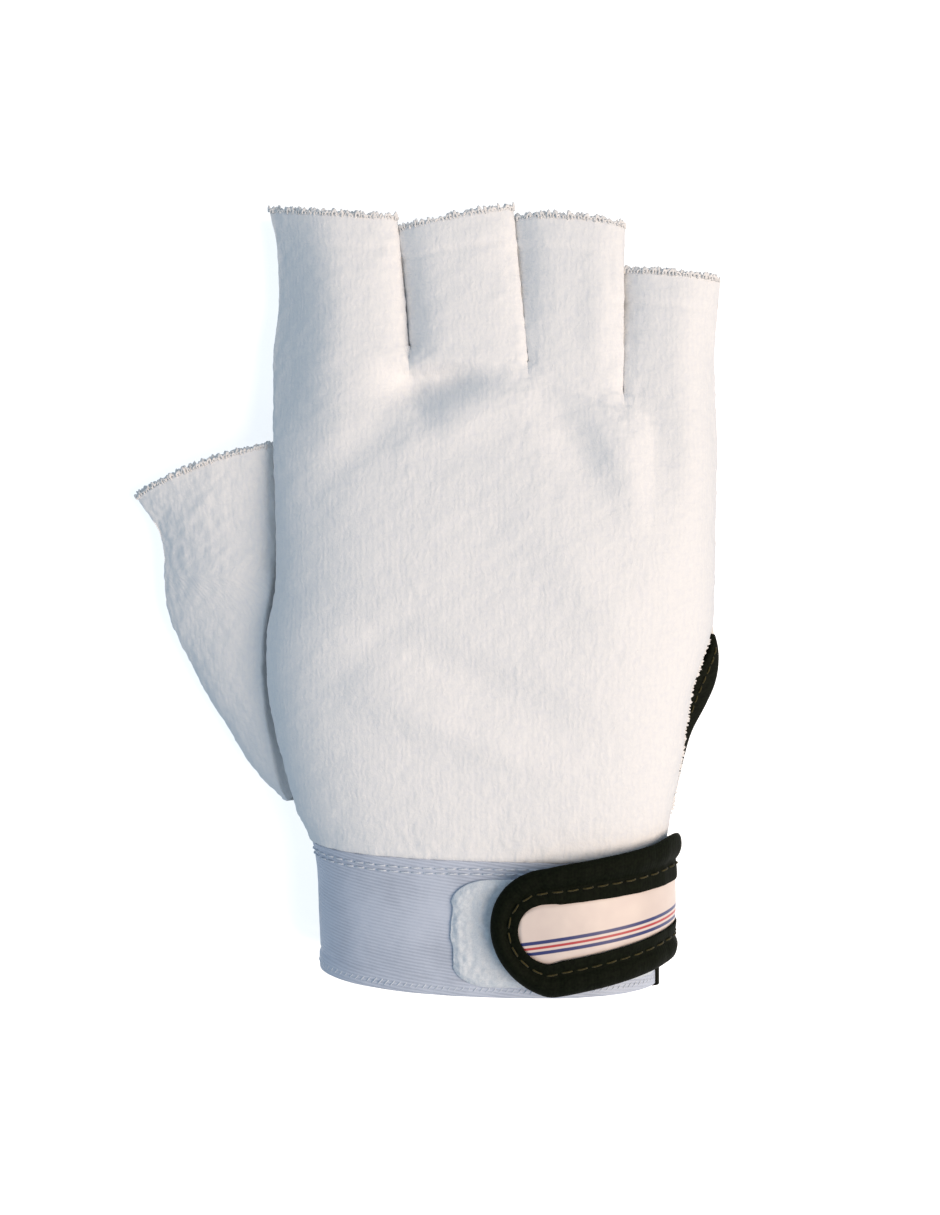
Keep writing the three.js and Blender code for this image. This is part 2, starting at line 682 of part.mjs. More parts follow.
// The tab's core, inside its bound edge
function tabCore() {
  const outline = tabOutline(TAPE.width + SEAM_GAP, TAB.root);
  const over = (girth) => tabLift(girth) + TAB_CORE.wall;
  return wristPlate(16, 4, outline, tabLift, over);
}

// The pale plate on the tab
function tabInsert() {
  const outline = tabOutline(TAPE.width + SEAM_GAP, TAB.root - INSERT.rightTrim);
  const under = (girth) => tabLift(girth) + TAB_CORE.wall + SEAM_GAP;
  return wristPlate(16, 4, outline, under, (girth) => under(girth) + INSERT.wall);
}

// The hooked half of the fastener under the tab
function hookPatch() {
  const outline = (u, v) => {
    const girth = lerp(HOOK.left, HOOK.right, u);
    return [girth, tabMiddle(girth) + HOOK.halfHeight * (2 * v - 1)];
  };
  return wristPlate(8, 2, outline, () => LEVEL.hook, () => LEVEL.hook + HOOK.wall);
}

// Section of the tab's bound edge: distance in from the edge and height above its underside
const TAPE_SECTION = [
  [0.0, 1.2],
  [0.5, 0.3],
  [1.5, 0.0],
  [TAPE.width, 0.0],
  [TAPE.width, TAPE.strip],
  [TAPE.roll + 0.4, TAPE.strip],
  [TAPE.roll, TAPE.strip - 0.2],
  [TAPE.roll - 0.9, TAPE.crown - 0.25],
  [3.2, TAPE.crown],
  [1.2, TAPE.crown - 0.5],
  [0.3, 2.0],
];

// The tape around the tab, from its root over the top edge, the round tip and back along the bottom edge
function tabTape() {
  const straight = 14;
  const turns = 18;
  const path = [];
  const start = TAB.tip + TAB.halfHeight;
  for (let step = 0; step <= straight; step += 1) {
    const girth = lerp(TAB.root, start, step / straight);
    path.push({ girth, y: tabMiddle(girth) + TAB.halfHeight - tabTaper(girth), normal: [0, -1] });
  }
  for (let step = 1; step < turns; step += 1) {
    const angle = Math.PI / 2 + (Math.PI * step) / turns;
    const girth = start + TAB.halfHeight * Math.cos(angle);
    const y = tabMiddle(girth) + TAB.halfHeight * Math.sin(angle);
    path.push({ girth, y, normal: [-Math.cos(angle), -Math.sin(angle)] });
  }
  for (let step = 0; step <= straight; step += 1) {
    const girth = lerp(start, TAB.root, step / straight);
    path.push({ girth, y: tabMiddle(girth) - TAB.halfHeight + tabTaper(girth), normal: [0, 1] });
  }
  const rings = path.map((stop) =>
    TAPE_SECTION.map(([inward, height]) => {
      const girth = stop.girth + inward * stop.normal[0];
      const y = stop.y + inward * stop.normal[1] + tabMiddle(girth) - tabMiddle(stop.girth);
      return wrap(girth, y, tabLift(stop.girth) + height);
    }),
  );
  return sweep(rings);
}

// The bound edge of the palm along the slit, a rounded tape that leans in toward the back
function slitTape() {
  const rings = [];
  const steps = 22;
  const first = SLIT_EDGE[0].y;
  const last = SLIT_EDGE[SLIT_EDGE.length - 1].y;
  const table = [...SLIT_EDGE].reverse();
  for (let step = 0; step <= steps; step += 1) {
    const y = lerp(last, first, step / steps);
    const at = (column) => along(table, 'y', column, y);
    const lean = THREE.MathUtils.degToRad(at('lean'));
    const up = point(-Math.sin(lean), 0, Math.cos(lean));
    const out = point(Math.cos(lean), 0, Math.sin(lean));
    const foot = point(at('x'), y, at('foot') + SLIT_TAPE.thick * Math.sin(lean));
    const width = at('width');
    const thick = SLIT_TAPE.thick;
    const section = [
      [0, -0.2],
      [0.2 * width, 0.05],
      [0.5 * width, 0.15],
      [0.8 * width, 0],
      [0.97 * width, -0.5],
      [width, -0.5 * thick],
      [0.97 * width, -thick + 0.5],
      [0.8 * width, -thick + 0.1],
      [0.5 * width, -thick],
      [0, -thick + 0.3],
    ];
    const ring = section.map(([rise, thickness]) =>
      foot.clone().addScaledVector(up, rise).addScaledVector(out, thickness),
    );
    rings.push(ring.reverse());
  }
  return sweep(rings);
}

// The tape that binds the palm's wrist hem, out of sight underneath
function hemTape() {
  const rings = [];
  const steps = 26;
  const start = 1.06;
  const end = 1.97;
  for (let step = 0; step <= steps; step += 1) {
    const turn = lerp(start, end, step / steps);
    const y = hemY(ease(2 - turn)) + HEM_TAPE.back;
    const before = wristLoop(turn - 0.01, y);
    const after = wristLoop(turn + 0.01, y);
    const tangent = after.sub(before).normalize();
    const normal = point(-tangent.z, 0, tangent.x);
    const place = wristLoop(turn, y);
    const section = [
      [-SEAM_GAP, 0],
      [-SEAM_GAP, -HEM_TAPE.wall],
      [-0.75 * HEM_TAPE.deep, -HEM_TAPE.wall - 0.2],
      [-1.1 * HEM_TAPE.deep, -0.55 * HEM_TAPE.wall],
      [-HEM_TAPE.deep, 0],
    ];
    const ring = section.map(([back, height]) =>
      place.clone().add(point(0, back, 0)).addScaledVector(normal, height),
    );
    rings.push(ring.reverse());
  }
  return sweep(rings);
}

// Assembly

const MATERIALS = {
  terry: new THREE.MeshStandardMaterial({ color: 0xe8e6e6, roughness: 0.95, metalness: 0 }),
  leather: new THREE.MeshStandardMaterial({ color: 0xe6e4e1, roughness: 0.6, metalness: 0 }),
  elastic: new THREE.MeshStandardMaterial({ color: 0xc9d0dc, roughness: 0.7, metalness: 0 }),
  loops: new THREE.MeshStandardMaterial({ color: 0xcdd3dc, roughness: 1, metalness: 0 }),
  hooks: new THREE.MeshStandardMaterial({ color: 0xd5d8dc, roughness: 0.7, metalness: 0 }),
  tape: new THREE.MeshStandardMaterial({ color: 0x161a17, roughness: 0.8, metalness: 0 }),
  strap: new THREE.MeshStandardMaterial({ color: 0x1b1e1c, roughness: 0.8, metalness: 0 }),
  label: new THREE.MeshStandardMaterial({ color: 0xf2e3da, roughness: 0.45, metalness: 0 }),
};

const PIECES = [
  ['back_panel', backPanel, 'terry'],
  ['palm_panel', palmPanel, 'leather'],
  ['thumb', thumbTube, 'terry'],
  ['wrist_band', wristBand, 'elastic'],
  ['band_slit_tape', bandSlitTape, 'tape'],
  ['loop_patch', loopPatch, 'loops'],
  ['hook_patch', hookPatch, 'hooks'],
  ['closure_tab', tabCore, 'strap'],
  ['tab_tape', tabTape, 'tape'],
  ['tab_insert', tabInsert, 'label'],
  ['slit_tape', slitTape, 'tape'],
  ['hem_tape', hemTape, 'tape'],
];

const glove = new THREE.Group();
for (const [name, build, material] of PIECES) {
  const mesh = new THREE.Mesh(build(), MATERIALS[material]);
  mesh.name = name;
  glove.add(mesh);
}

// The origin is the middle of the glove's outline on the surface that it lies on
const bounds = new THREE.Box3().setFromObject(glove);
const middle = bounds.getCenter(new THREE.Vector3());
glove.position.set(-middle.x, -middle.y, -bounds.min.z);

export default glove;
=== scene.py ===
# A fingerless tennis glove of white terry, lying palm down: its cloth, tapes, fastener and stitches.
# Shapes are worked out in millimetres, as in the solids, and put into metres when a mesh is made.
import math
import random

import bpy
import numpy as np
from mathutils import Matrix, Vector, noise


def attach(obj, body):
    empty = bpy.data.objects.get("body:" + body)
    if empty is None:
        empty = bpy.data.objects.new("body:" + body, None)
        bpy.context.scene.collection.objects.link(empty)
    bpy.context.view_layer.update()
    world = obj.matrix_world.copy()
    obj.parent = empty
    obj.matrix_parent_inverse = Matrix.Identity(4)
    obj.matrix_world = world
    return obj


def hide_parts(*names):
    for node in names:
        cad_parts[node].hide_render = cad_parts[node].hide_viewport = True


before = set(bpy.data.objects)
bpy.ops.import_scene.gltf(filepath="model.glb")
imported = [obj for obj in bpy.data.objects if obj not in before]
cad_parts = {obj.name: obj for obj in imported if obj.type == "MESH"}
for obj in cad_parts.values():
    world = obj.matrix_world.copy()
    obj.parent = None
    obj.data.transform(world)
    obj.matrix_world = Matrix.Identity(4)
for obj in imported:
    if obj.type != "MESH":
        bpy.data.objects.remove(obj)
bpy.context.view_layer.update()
bpy.ops.object.select_all(action="DESELECT")

# Sizes

ORIGIN = np.array([0.71579, -0.25513, 0.0])  # moves the drawing's middle onto the frame's origin
MM = 0.001
SEAM_GAP = 0.3  # between two pieces that are sewn together
TERRY, LEATHER = 2.0, 1.4  # thickness of the two cloths
TERRY_RIM, LEATHER_RIM = 2.2, 1.5  # how far in from the outer skin the inner one stands at the sides
SLIT_TOP = -5.0
SLIT_SIDE_LEVEL = 14.0  # height of the wrist's edge beside the slit
CUFF_SEAM = -57.6
CUFF_TILT = (1.6, -1.4)  # how far the seam stands above that at its left end and at its right end
WRIST_HEM = (-87.4, -91.2, -1.2)  # y at the left end, at the right end, and the bow between them
BAND_WALL, BAND_DROP = 1.5, 0.5
BAND_UNDER = -BAND_DROP - BAND_WALL
BAND_END, BAND_INSET = -5.5, 0.1  # girth of the band's right end, and how far in its left end stands
BAND_BINDING = dict(left=-5.1, right=-2.4, bottom=-0.6, top=-2.2, rise=0.1)
CUFF_ROWS = (2.3, 3.5)  # how far below the cuff seam its two rows of stitches run
OVERLOCK_ROW = 1.7  # how far above the wrist hem its stitches run
HEM_DEPTH, HEM_RISE = 6.5, 0.22  # how far the terry is turned in at the finger hems, and its step there
TERRY_BULGE, LEATHER_BULGE = 0.5, 0.1  # how far the middle of a rim stands out
STITCH_SPAN, STITCH_SINK = 64, 26  # degrees: the arc of a stitch, and where on it the cloth's level is
WALE = 1.3  # distance between two rows of terry loops
LOOP_PITCH = 1.05  # distance between two loops in a row
PINSTRIPES = ((-1.6, 0.42, "#26306B"), (-2.9, 0.30, "#B5373C"), (-4.2, 0.42, "#26306B"))  # place, half width

# Hand: y, left edge, right edge, the palm's right edge, left seam height, right seam height, crown
HAND = [
    (-93, -27.2, 53.0, 55.2, 15.0, 16.5, 32.0),
    (-75, -27.8, 53.2, 55.0, 15.0, 16.5, 32.8),
    (-62, -28.2, 54.8, 55.0, 15.4, 16.5, 33.4),
    (-54, -29.8, 56.7, 56.2, 15.8, 17.0, 34.2),
    (-49, -32.3, 57.4, 57.6, 16.4, 17.8, 35.0),
    (-37, -35.4, 59.4, 60.4, 17.0, 18.8, 36.4),
    (-27, -37.8, 60.7, 64.4, 17.0, 19.0, 37.2),
    (-19, -38.8, 62.0, 67.8, 17.0, 18.8, 37.4),
    (-12, -38.9, 64.6, 68.8, 17.0, 16.6, 37.2),
    (-5, -38.7, 67.3, 67.5, 17.0, 13.0, 36.9),
    (4, -36.8, 67.6, 67.6, 17.0, 12.4, 36.2),
    (20, -36.5, 67.8, 67.8, 17.0, 12.0, 34.2),
    (38, -37.0, 68.1, 68.1, 16.4, 11.6, 30.4),
    (49, -37.2, 67.5, 67.5, 12.4, 11.2, 27.6),
    (60, -37.3, 67.3, 67.3, 10.0, 10.8, 25.0),
    (70, -36.2, 68.0, 68.0, 9.0, 10.4, 24.0),
    (78, -36.1, 68.5, 68.5, 8.6, 10.2, 23.0),
    (86, -36.6, 68.5, 68.5, 8.4, 10.0, 22.0),
    (93, -38.1, 68.5, 68.5, 8.2, 10.0, 21.0),
]
LEFT, RIGHT, PALM_RIGHT, LEFT_SEAM, RIGHT_SEAM, CROWN = range(1, 7)

# The palm's left edge: y, how far inside the back's edge, how far below its seam
PALM_LEFT = [
    (-93, 0.9, 0), (-58, 0.9, 0), (-50, 0.6, 0.8), (-44, 1.4, 11.4), (-38, 1.4, 13.8), (2, 1.2, 13.8),
    (7, 2.2, 9.0), (12, 2.9, 1.0), (20, 3.0, 0), (36, 2.6, 0), (46, 0.6, 0), (52, 0, 0), (93, 0, 0),
]

# Fingers: left and right ends of the root, of the hem, the hem's bow, edge heights, crown heights
FINGERS = [
    (((-37.3, 62.0), (-4.8, 61.0)), ((-38.1, 92.9), (-7.6, 90.4)), -0.6, (8.4, 14.4), (23.4, 18.0)),
    (((-4.8, 61.0), (22.8, 57.5)), ((-9.2, 87.2), (19.4, 92.6)), 0.4, (8.8, 14.6), (24.0, 18.0)),
    (((22.8, 57.5), (45.0, 50.0)), ((17.9, 90.0), (45.5, 88.4)), 1.2, (8.8, 13.8), (23.4, 17.8)),
    (((45.0, 50.0), (67.5, 48.0)), ((43.9, 78.4), (68.5, 76.4)), 0.2, (8.8, 10.2), (21.6, 16.4)),
]

# Dents and ridges of the cloth: x, y, direction, length, width, rise
FOLDS = [
    (2.6, 53.4, 14, 10.5, 4.2, -5.6), (-5.0, 51.6, -60, 9, 4.4, -2.8), (6.0, 43.5, 24, 14, 4.4, 1.3),
    (33.0, 38.0, -60, 14, 5.0, -1.8), (44.0, 36.5, -66, 12, 4.6, 1.2), (53.0, 40.0, -70, 9, 4.0, -0.5),
    (39.5, 70.0, 86, 12, 4.0, 0.8), (-18.0, 36.0, 42, 13, 4.0, -0.8), (10.0, -15.0, -24, 25, 5.0, -1.8),
    (4.0, -26.0, -22, 22, 5.0, 1.4), (-14.0, -8.0, 36, 16, 4.6, -0.9), (34.0, 8.0, -52, 20, 6.0, 0.9),
]

# Thumb: left x, left y, right x, right y, middle height, rise, fall, openness to the palm
THUMB = [
    (-36.4, -48.0, -33.6, -48.2, 10.0, 4.2, 4.0, 1), (-41.8, -42.4, -35.8, -42.6, 9.0, 5.4, 6.4, 1),
    (-49.2, -31.4, -37.4, -33.0, 8.0, 7.4, 7.6, 1), (-55.6, -20.6, -38.6, -24.0, 8.0, 8.0, 7.7, 1),
    (-60.4, -11.0, -38.8, -14.0, 8.0, 8.2, 7.7, 1), (-64.0, -1.6, -37.9, -4.0, 8.0, 8.2, 7.7, 1),
    (-64.6, 5.6, -36.6, 4.2, 8.0, 8.2, 7.7, 0.6), (-64.6, 11.0, -37.0, 11.5, 8.2, 7.6, 7.8, 0),
    (-65.2, 15.4, -37.2, 20.0, 8.4, 7.2, 8.0, 0), (-67.4, 20.2, -37.6, 29.0, 8.4, 7.0, 8.0, 0),
    (-70.6, 25.2, -38.2, 37.4, 8.4, 7.0, 8.0, 0),
]
THUMB_CLOSED = 7  # row of the table from which the thumb is a tube
TUCK_REACH, TUCK_HEIGHT = 3.4, 0.62  # how far the thumb's top reaches under the back, and how high there
THUMB_BOW, THUMB_GROOVE = 2.0, 5.0  # bow of the thumb's hem, and depth of the groove beside the back
THUMB_CLOSE = 1.3  # how far the closed part of the thumb reaches toward the hand
THUMB_LIP, THUMB_RIM = 0.05, 2.1  # share of the way round over which its seam turns in, and its rim

# Fastener, in millimetres round the wrist from the palm's edge on the little finger side. A height is the
# rough one from which the distance to an edge is reckoned.
PATCH = dict(left=-58.8, right=-8.0, top=-62.2, bottom=-88.0, corner=9.0, wall=1.0, height=26)
HOOK = dict(left=-42.0, right=-20.0, half=9.0, wall=0.9)
TAB = dict(tip=-50.0, root=1.5, half=15.8, taper=1.5, over_palm=0.3, dive=7.0)
TAB_SHOULDER = [(-60, 0), (-36, 0), (-24, 0.7), (-13, 1.5), (-7, 2.3), (-3, 1.0), (2, -1.5)]  # girth, rise
AXIS = dict(y=-74.0, start=-37.0, rise=0.13, tip_rise=0.12, level=-12, fade=27)
CORE_WALL, INSERT_WALL, INSERT_TRIM, INSERT_HEIGHT = 1.1, 0.8, 4.0, 14
TAPE = dict(width=8.3, roll=5.2, crown=2.9, strip=2.3)
TAPE_SEAM = TAPE["roll"] + 0.9  # how far in from the tab's edge its stitches run
TAPE_PUCKERS = ((0.05, 2.9), (0.04, 7.3))  # share of its height, and the length from one to the next
TIP_PRESS = 0.3  # how much narrower the tape is at the tip
SLIT_THICK = 2.4

# Bound edge of the slit: y, outer lower corner's x, foot height, width, lean in degrees
SLIT_EDGE = [
    (-50.6, 57.9, 13.4, 2.4, 22), (-45.0, 59.2, 13.2, 3.2, 28), (-38.0, 60.9, 12.8, 4.2, 38),
    (-31.0, 62.9, 12.5, 5.4, 50), (-24.0, 66.4, 12.3, 7.2, 59), (-19.0, 68.5, 12.2, 7.4, 60),
    (-14.0, 69.3, 12.1, 5.2, 54), (-10.0, 68.9, 12.1, 2.6, 38), (-7.0, 68.0, 12.1, 1.4, 20),
]
HEM_BACK, HEM_DEEP, HEM_WALL = 2.0, 2.9, 1.7  # the palm's wrist hem: how far back, how deep, how thick

# Camera, as worked out from the outline of the glove: 430 mm off, leaning 6 degrees toward the wrist
CAMERA_PLACE = np.array([9.29, 44.35, 442.64])
CAMERA_TILT = math.radians(6)
CAMERA_LENS = 53.51


def set_camera():
    data = bpy.data.cameras.new("camera")
    data.lens = CAMERA_LENS
    data.sensor_width = 36
    camera = bpy.data.objects.new("camera", data)
    camera.location = (CAMERA_PLACE + ORIGIN) * MM
    camera.rotation_euler = (-CAMERA_TILT, 0, 0)
    data.clip_start = 0.01
    bpy.context.collection.objects.link(camera)
    bpy.context.scene.camera = camera


set_camera()

# Small helpers


def lerp(start, end, part):
    return start + (end - start) * part


def smooth(value, low, high):
    part = np.clip((np.asarray(value, float) - low) / (high - low), 0, 1)
    return part * part * (3 - 2 * part)


def ease(part):
    return 0.5 - 0.5 * np.cos(np.pi * np.asarray(part, float))


def along(table, column, at):
    """Value of a column where the first column is at, on a smooth curve through the rows."""
    rows = np.array(table, float)
    keys, values = rows[:, 0], rows[:, column]
    last = len(keys) - 1
    at = np.clip(np.asarray(at, float), keys[0], keys[-1])
    before = np.maximum(np.arange(last + 1) - 1, 0)
    after = np.minimum(np.arange(last + 1) + 1, last)
    slope = (values[after] - values[before]) / (keys[after] - keys[before])
    row = np.clip(np.searchsorted(keys, at) - 1, 0, last - 1)
    span = keys[row + 1] - keys[row]
    part = (at - keys[row]) / span
    square, cube = part**2, part**3
    level = values[row] * (2 * cube - 3 * square + 1) + values[row + 1] * (3 * square - 2 * cube)
    return level + span * (slope[row] * (cube - 2 * square + part) + slope[row + 1] * (cube - square))


def hand(column, y):
    return along(HAND, column, y)


def cuff_seam(part):
    return CUFF_SEAM + lerp(CUFF_TILT[0], CUFF_TILT[1], part)


def wrist_hem(part):
    return lerp(WRIST_HEM[0], WRIST_HEM[1], part) + WRIST_HEM[2] * np.sin(np.pi * part)


def arch(part, flat, bend):
    side = np.abs(2 * np.clip(part, 0, 1) - 1)
    return np.maximum(0, 1 - side**flat) ** bend


def finger_arch(part):
    return arch(part, 2.1, 0.9)


INDEX_LEAN = 1.3  # moves the index finger's crown toward the middle finger
PALM_SINK, FINGER_SINK = 1.25, 1.3  # how soon the underside reaches the floor, in from its edges
KNUCKLE_REACH = 42  # how far below the finger roots the back of the hand takes on the fingers' shape


def finger_crown(strip, part, run=0.0, below=0.0):
    """Section of the back of a finger: round at the hand's own sides, pressed upright between fingers
    and opening into a soft valley below them."""
    part = np.where(strip == 0, part**INDEX_LEAN, part)
    pressed = arch(part, 3.0, np.minimum(lerp(0.38, 0.62, run) + 0.11 * below, 1.3))
    outside = ((strip == 0) & (part < 0.5)) | ((strip == 3) & (part >= 0.5))
    return np.where(outside, finger_arch(part), pressed)


def stack(x, y, z):
    x, y, z = np.broadcast_arrays(x, y, z)
    return np.stack([x, y, z], axis=-1).astype(float)


def lumps(places, size, seed, stretch=(1, 1, 1), turn=0.0):
    """Smooth noise from -1 to 1 whose lumps are size millimetres wide, stretched and turned in plan."""
    flat = places.reshape(-1, 3)
    c, s = math.cos(turn), math.sin(turn)
    u = (flat[:, 0] * c + flat[:, 1] * s) / (size * stretch[0])
    v = (flat[:, 1] * c - flat[:, 0] * s) / (size * stretch[1])
    w = flat[:, 2] / (size * stretch[2])
    values = [noise.noise((a + seed, b - seed, c)) for a, b, c in zip(u, v, w)]
    return np.array(values).reshape(places.shape[:-1])


def unit(vectors):
    return vectors / np.linalg.norm(vectors, axis=-1, keepdims=True)


def path_length(places):
    """Length along a row of places, or along the first axis of a grid of them."""
    steps = np.linalg.norm(np.diff(places, axis=0), axis=-1)
    return np.concatenate([np.zeros((1,) + steps.shape[1:]), np.cumsum(steps, axis=0)])


def read_at(stop, at, rows):
    """Places or directions, read where the length along them is stop."""
    return np.stack([np.interp(stop, at, rows[:, axis]) for axis in range(3)], axis=-1)


# Shape of the hand, as in the solids


def underside(edge, shape, sink):
    return np.maximum(0, edge * (1 - sink * shape))


def hand_arch(part, y):
    wrist = 1 - smooth(y, CUFF_SEAM - 2, CUFF_SEAM + 26)
    return lerp(arch(part, 3.4, 0.52), arch(part, 2.8, 0.48), wrist)


def fold_rise(x, y):
    rise = 0
    for fold_x, fold_y, turn, length, width, height in FOLDS:
        angle = math.radians(turn)
        u = ((x - fold_x) * math.cos(angle) + (y - fold_y) * math.sin(angle)) / length
        v = ((y - fold_y) * math.cos(angle) - (x - fold_x) * math.sin(angle)) / width
        rise = rise + height * np.exp(-u * u - v * v)
    return rise


def palm_left(y):
    return hand(LEFT, y) + along(PALM_LEFT, 1, y)


def panel_edges(back, y):
    if back:
        return hand(LEFT, y), hand(LEFT_SEAM, y), hand(RIGHT, y), hand(RIGHT_SEAM, y)
    slit = smooth(-y, -SLIT_TOP - 1, -SLIT_TOP + 3)
    right_seam = lerp(hand(RIGHT_SEAM, y), lerp(12, 13.8, smooth(-y, 40, 56)), slit)
    return palm_left(y), hand(LEFT_SEAM, y) - along(PALM_LEFT, 2, y), hand(PALM_RIGHT, y), right_seam


CROTCH_LEVELS = (13.6, 20.0, 18.2)  # height of the seams where two fingers meet
CROTCH_SETTLE = (0.4, 0.9, 0.9)  # share of the finger over which they come down to the hem's height


def root_line(strip, part):
    start, end = FINGERS[strip][0]
    return lerp(start[0], end[0], part), lerp(start[1], end[1], part)


def across(strip, part):
    start, end = FINGERS[0][0][0][0], FINGERS[3][0][1][0]
    return (root_line(strip, part)[0] - start) / (end - start)


def side_level(strip, part, edge, floor_level, shift, distance, reach):
    """Level between a finger's two sides below its root, where the crotches pinch the cloth."""
    pinch = np.exp(-distance / reach)
    left = edge if strip == 0 else lerp(floor_level, CROTCH_LEVELS[strip - 1] + shift, pinch)
    right = edge if strip == 3 else lerp(floor_level, CROTCH_LEVELS[strip] + shift, pinch)
    return lerp(left, right, smooth(part, 0, 1))


def palm_point(panel, strip, part, y, distance, skin):
    back, wall = panel["back"], panel["wall"]
    left, left_seam, right, right_seam = panel_edges(back, y)
    rim = panel["rim"] * skin
    extra = panel["thumb_rim"] * skin * smooth(y, -50, -42) * (1 - smooth(y, 38, 48))
    place = across(strip, part)
    x = lerp(left + rim + extra, right - rim, place)
    edge = lerp(left_seam, right_seam, place) + panel["seam_shift"]
    shape = hand_arch(place, y)
    share = 1 - smooth(distance, 0, KNUCKLE_REACH)
    lens = finger_crown(strip, part, 0.0, distance) if back else finger_arch(part)
    if back:
        dome = edge + (hand(CROWN, y) - wall * skin - edge) * shape
        level = side_level(strip, part, edge, dome - 1.2, panel["seam_shift"], distance, 2.6)
        top = FINGERS[strip][4][0] + distance * 0.2 - wall * skin
        knuckle = level + np.maximum(top - level, 0) * lens
        z = lerp(dome, knuckle, share) + fold_rise(x, y) * shape * smooth(distance, 0, 7)
    else:
        dome = underside(edge, shape, PALM_SINK)
        level = side_level(strip, part, edge, 0, panel["seam_shift"], distance, 5.0)
        knuckle = underside(level, lens, FINGER_SINK)
        z = lerp(dome, knuckle, share) + wall * skin * np.minimum(1, 1.4 * shape + lens * share)
    return stack(x, y, z)


def finger_point(panel, strip, part, run, skin):
    base, hem, bow, edges, crowns = FINGERS[strip]
    hem_y = lerp(hem[0][1], hem[1][1], part) + bow * finger_arch(part)
    y = lerp(root_line(strip, part)[1], hem_y, run)
    left = lerp(base[0][0], hem[0][0], run) if strip else hand(LEFT, y)
    right = lerp(base[1][0], hem[1][0], run) if strip < 3 else hand(RIGHT, y)
    rim = panel["rim"] * skin
    x = lerp(left + rim, right - rim, part)
    root_left = CROTCH_LEVELS[strip - 1] if strip else hand(LEFT_SEAM, y)
    root_right = CROTCH_LEVELS[strip] if strip < 3 else hand(RIGHT_SEAM, y)
    left_edge = lerp(root_left, edges[0], smooth(run, 0, CROTCH_SETTLE[strip - 1] if strip else 0.4))
    right_edge = lerp(root_right, edges[1], smooth(run, 0, CROTCH_SETTLE[strip] if strip < 3 else 0.4))
    edge = lerp(left_edge, right_edge, smooth(part, 0, 1)) + panel["seam_shift"]
    lens = finger_crown(strip, part, run) if panel["back"] else finger_arch(part)
    if panel["back"]:
        crown = lerp(crowns[0], crowns[1], run) - panel["wall"] * skin
        z = edge + (crown - edge) * lens + fold_rise(x, y) * lens * smooth(run, 0, 0.3)
    else:
        z = underside(edge, lens, FINGER_SINK) + panel["wall"] * skin * np.minimum(1, 1.5 * lens)
    return stack(x, y, z)


# Cloth: two skins and rounded rims, from grids of places


def vertex_normals(points, quads):
    corners = points[quads]
    face = np.cross(corners[:, 2] - corners[:, 0], corners[:, 3] - corners[:, 1])
    normals = np.zeros_like(points)
    for corner in range(4):
        np.add.at(normals, quads[:, corner], face)
    return normals / np.maximum(np.linalg.norm(normals, axis=1, keepdims=True), 1e-9)


def open_borders(quads):
    """Directed border edges of a sheet of quads."""
    edges = np.concatenate([quads[:, [0, 1]], quads[:, [1, 2]], quads[:, [2, 3]], quads[:, [3, 0]]])
    known = set(map(tuple, edges.tolist()))
    return [(a, b) for a, b in edges.tolist() if (b, a) not in known]


def new_piece(name, points, faces, surface, cloth=None):
    """A mesh object at the origin, from places in millimetres. cloth gives the cloth's own place."""
    mesh = bpy.data.meshes.new(name)
    mesh.from_pydata(((points + ORIGIN) * MM).tolist(), [], [list(face) for face in faces])
    if cloth is not None:
        layer = mesh.uv_layers.new(name="cloth")
        index = np.empty(len(mesh.loops), int)
        mesh.loops.foreach_get("vertex_index", index)
        layer.data.foreach_set("uv", (cloth[index] * MM).astype(np.float32).ravel())
    mesh.polygons.foreach_set("use_smooth", [True] * len(mesh.polygons))
    mesh.materials.append(surface)
    mesh.update()
    piece = bpy.data.objects.new(name, mesh)
    bpy.context.collection.objects.link(piece)
    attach(piece, "root")
    return piece


def shell(name, outer, inner, quads, cloth, surface, bulge):
    """A closed sheet: outer skin, inner skin and, along each open border, a rim with a rounded middle."""
    count = len(outer)
    borders = open_borders(quads)
    middle, beyond = {}, {}
    extra, extra_cloth = [], []
    for a, b in borders:
        side = np.cross(outer[b] - outer[a], inner[a] - outer[a])
        length = np.linalg.norm(side)
        side = side / length if length > 1e-9 else side
        for corner in (a, b):
            beyond[corner] = beyond.get(corner, 0) + side
    for corner, side in beyond.items():
        side = side / max(np.linalg.norm(side), 1e-9)
        middle[corner] = 2 * count + len(extra)
        extra.append((outer[corner] + inner[corner]) / 2 - side * bulge)
        extra_cloth.append(cloth[corner])
    faces = [tuple(quad) for quad in quads.tolist()]
    faces += [(d + count, c + count, b + count, a + count) for a, b, c, d in quads.tolist()]
    for a, b in borders:
        faces.append((b, a, middle[a], middle[b]))
        faces.append((middle[b], middle[a], a + count, b + count))
    points = np.concatenate([outer, inner, np.array(extra)])
    cloths = np.concatenate([cloth, cloth, np.array(extra_cloth)])
    return new_piece(name, points, faces, surface, cloths)


def grid_quads(index):
    """Quads over a grid of vertex numbers, counter-clockwise where columns go right and rows go up."""
    parts = [index[:-1, :-1], index[1:, :-1], index[1:, 1:], index[:-1, 1:]]
    return np.stack([part.ravel() for part in parts], axis=-1)


def cloth_across(points, left_side, right_side):
    """Place across the cloth: plain x, but measured over the cloth where the hand's sides fall away."""
    steps = np.diff(points, axis=0)
    column = np.arange(len(steps))
    weight = np.zeros(len(steps))
    weight[column < left_side] = 1.0
    weight[column >= len(steps) - right_side] = 1.0
    length = np.sqrt(steps[..., 0] ** 2 + (weight[:, None] * steps[..., 2]) ** 2)
    return np.concatenate([np.zeros((1, points.shape[1])), np.cumsum(length, axis=0)])


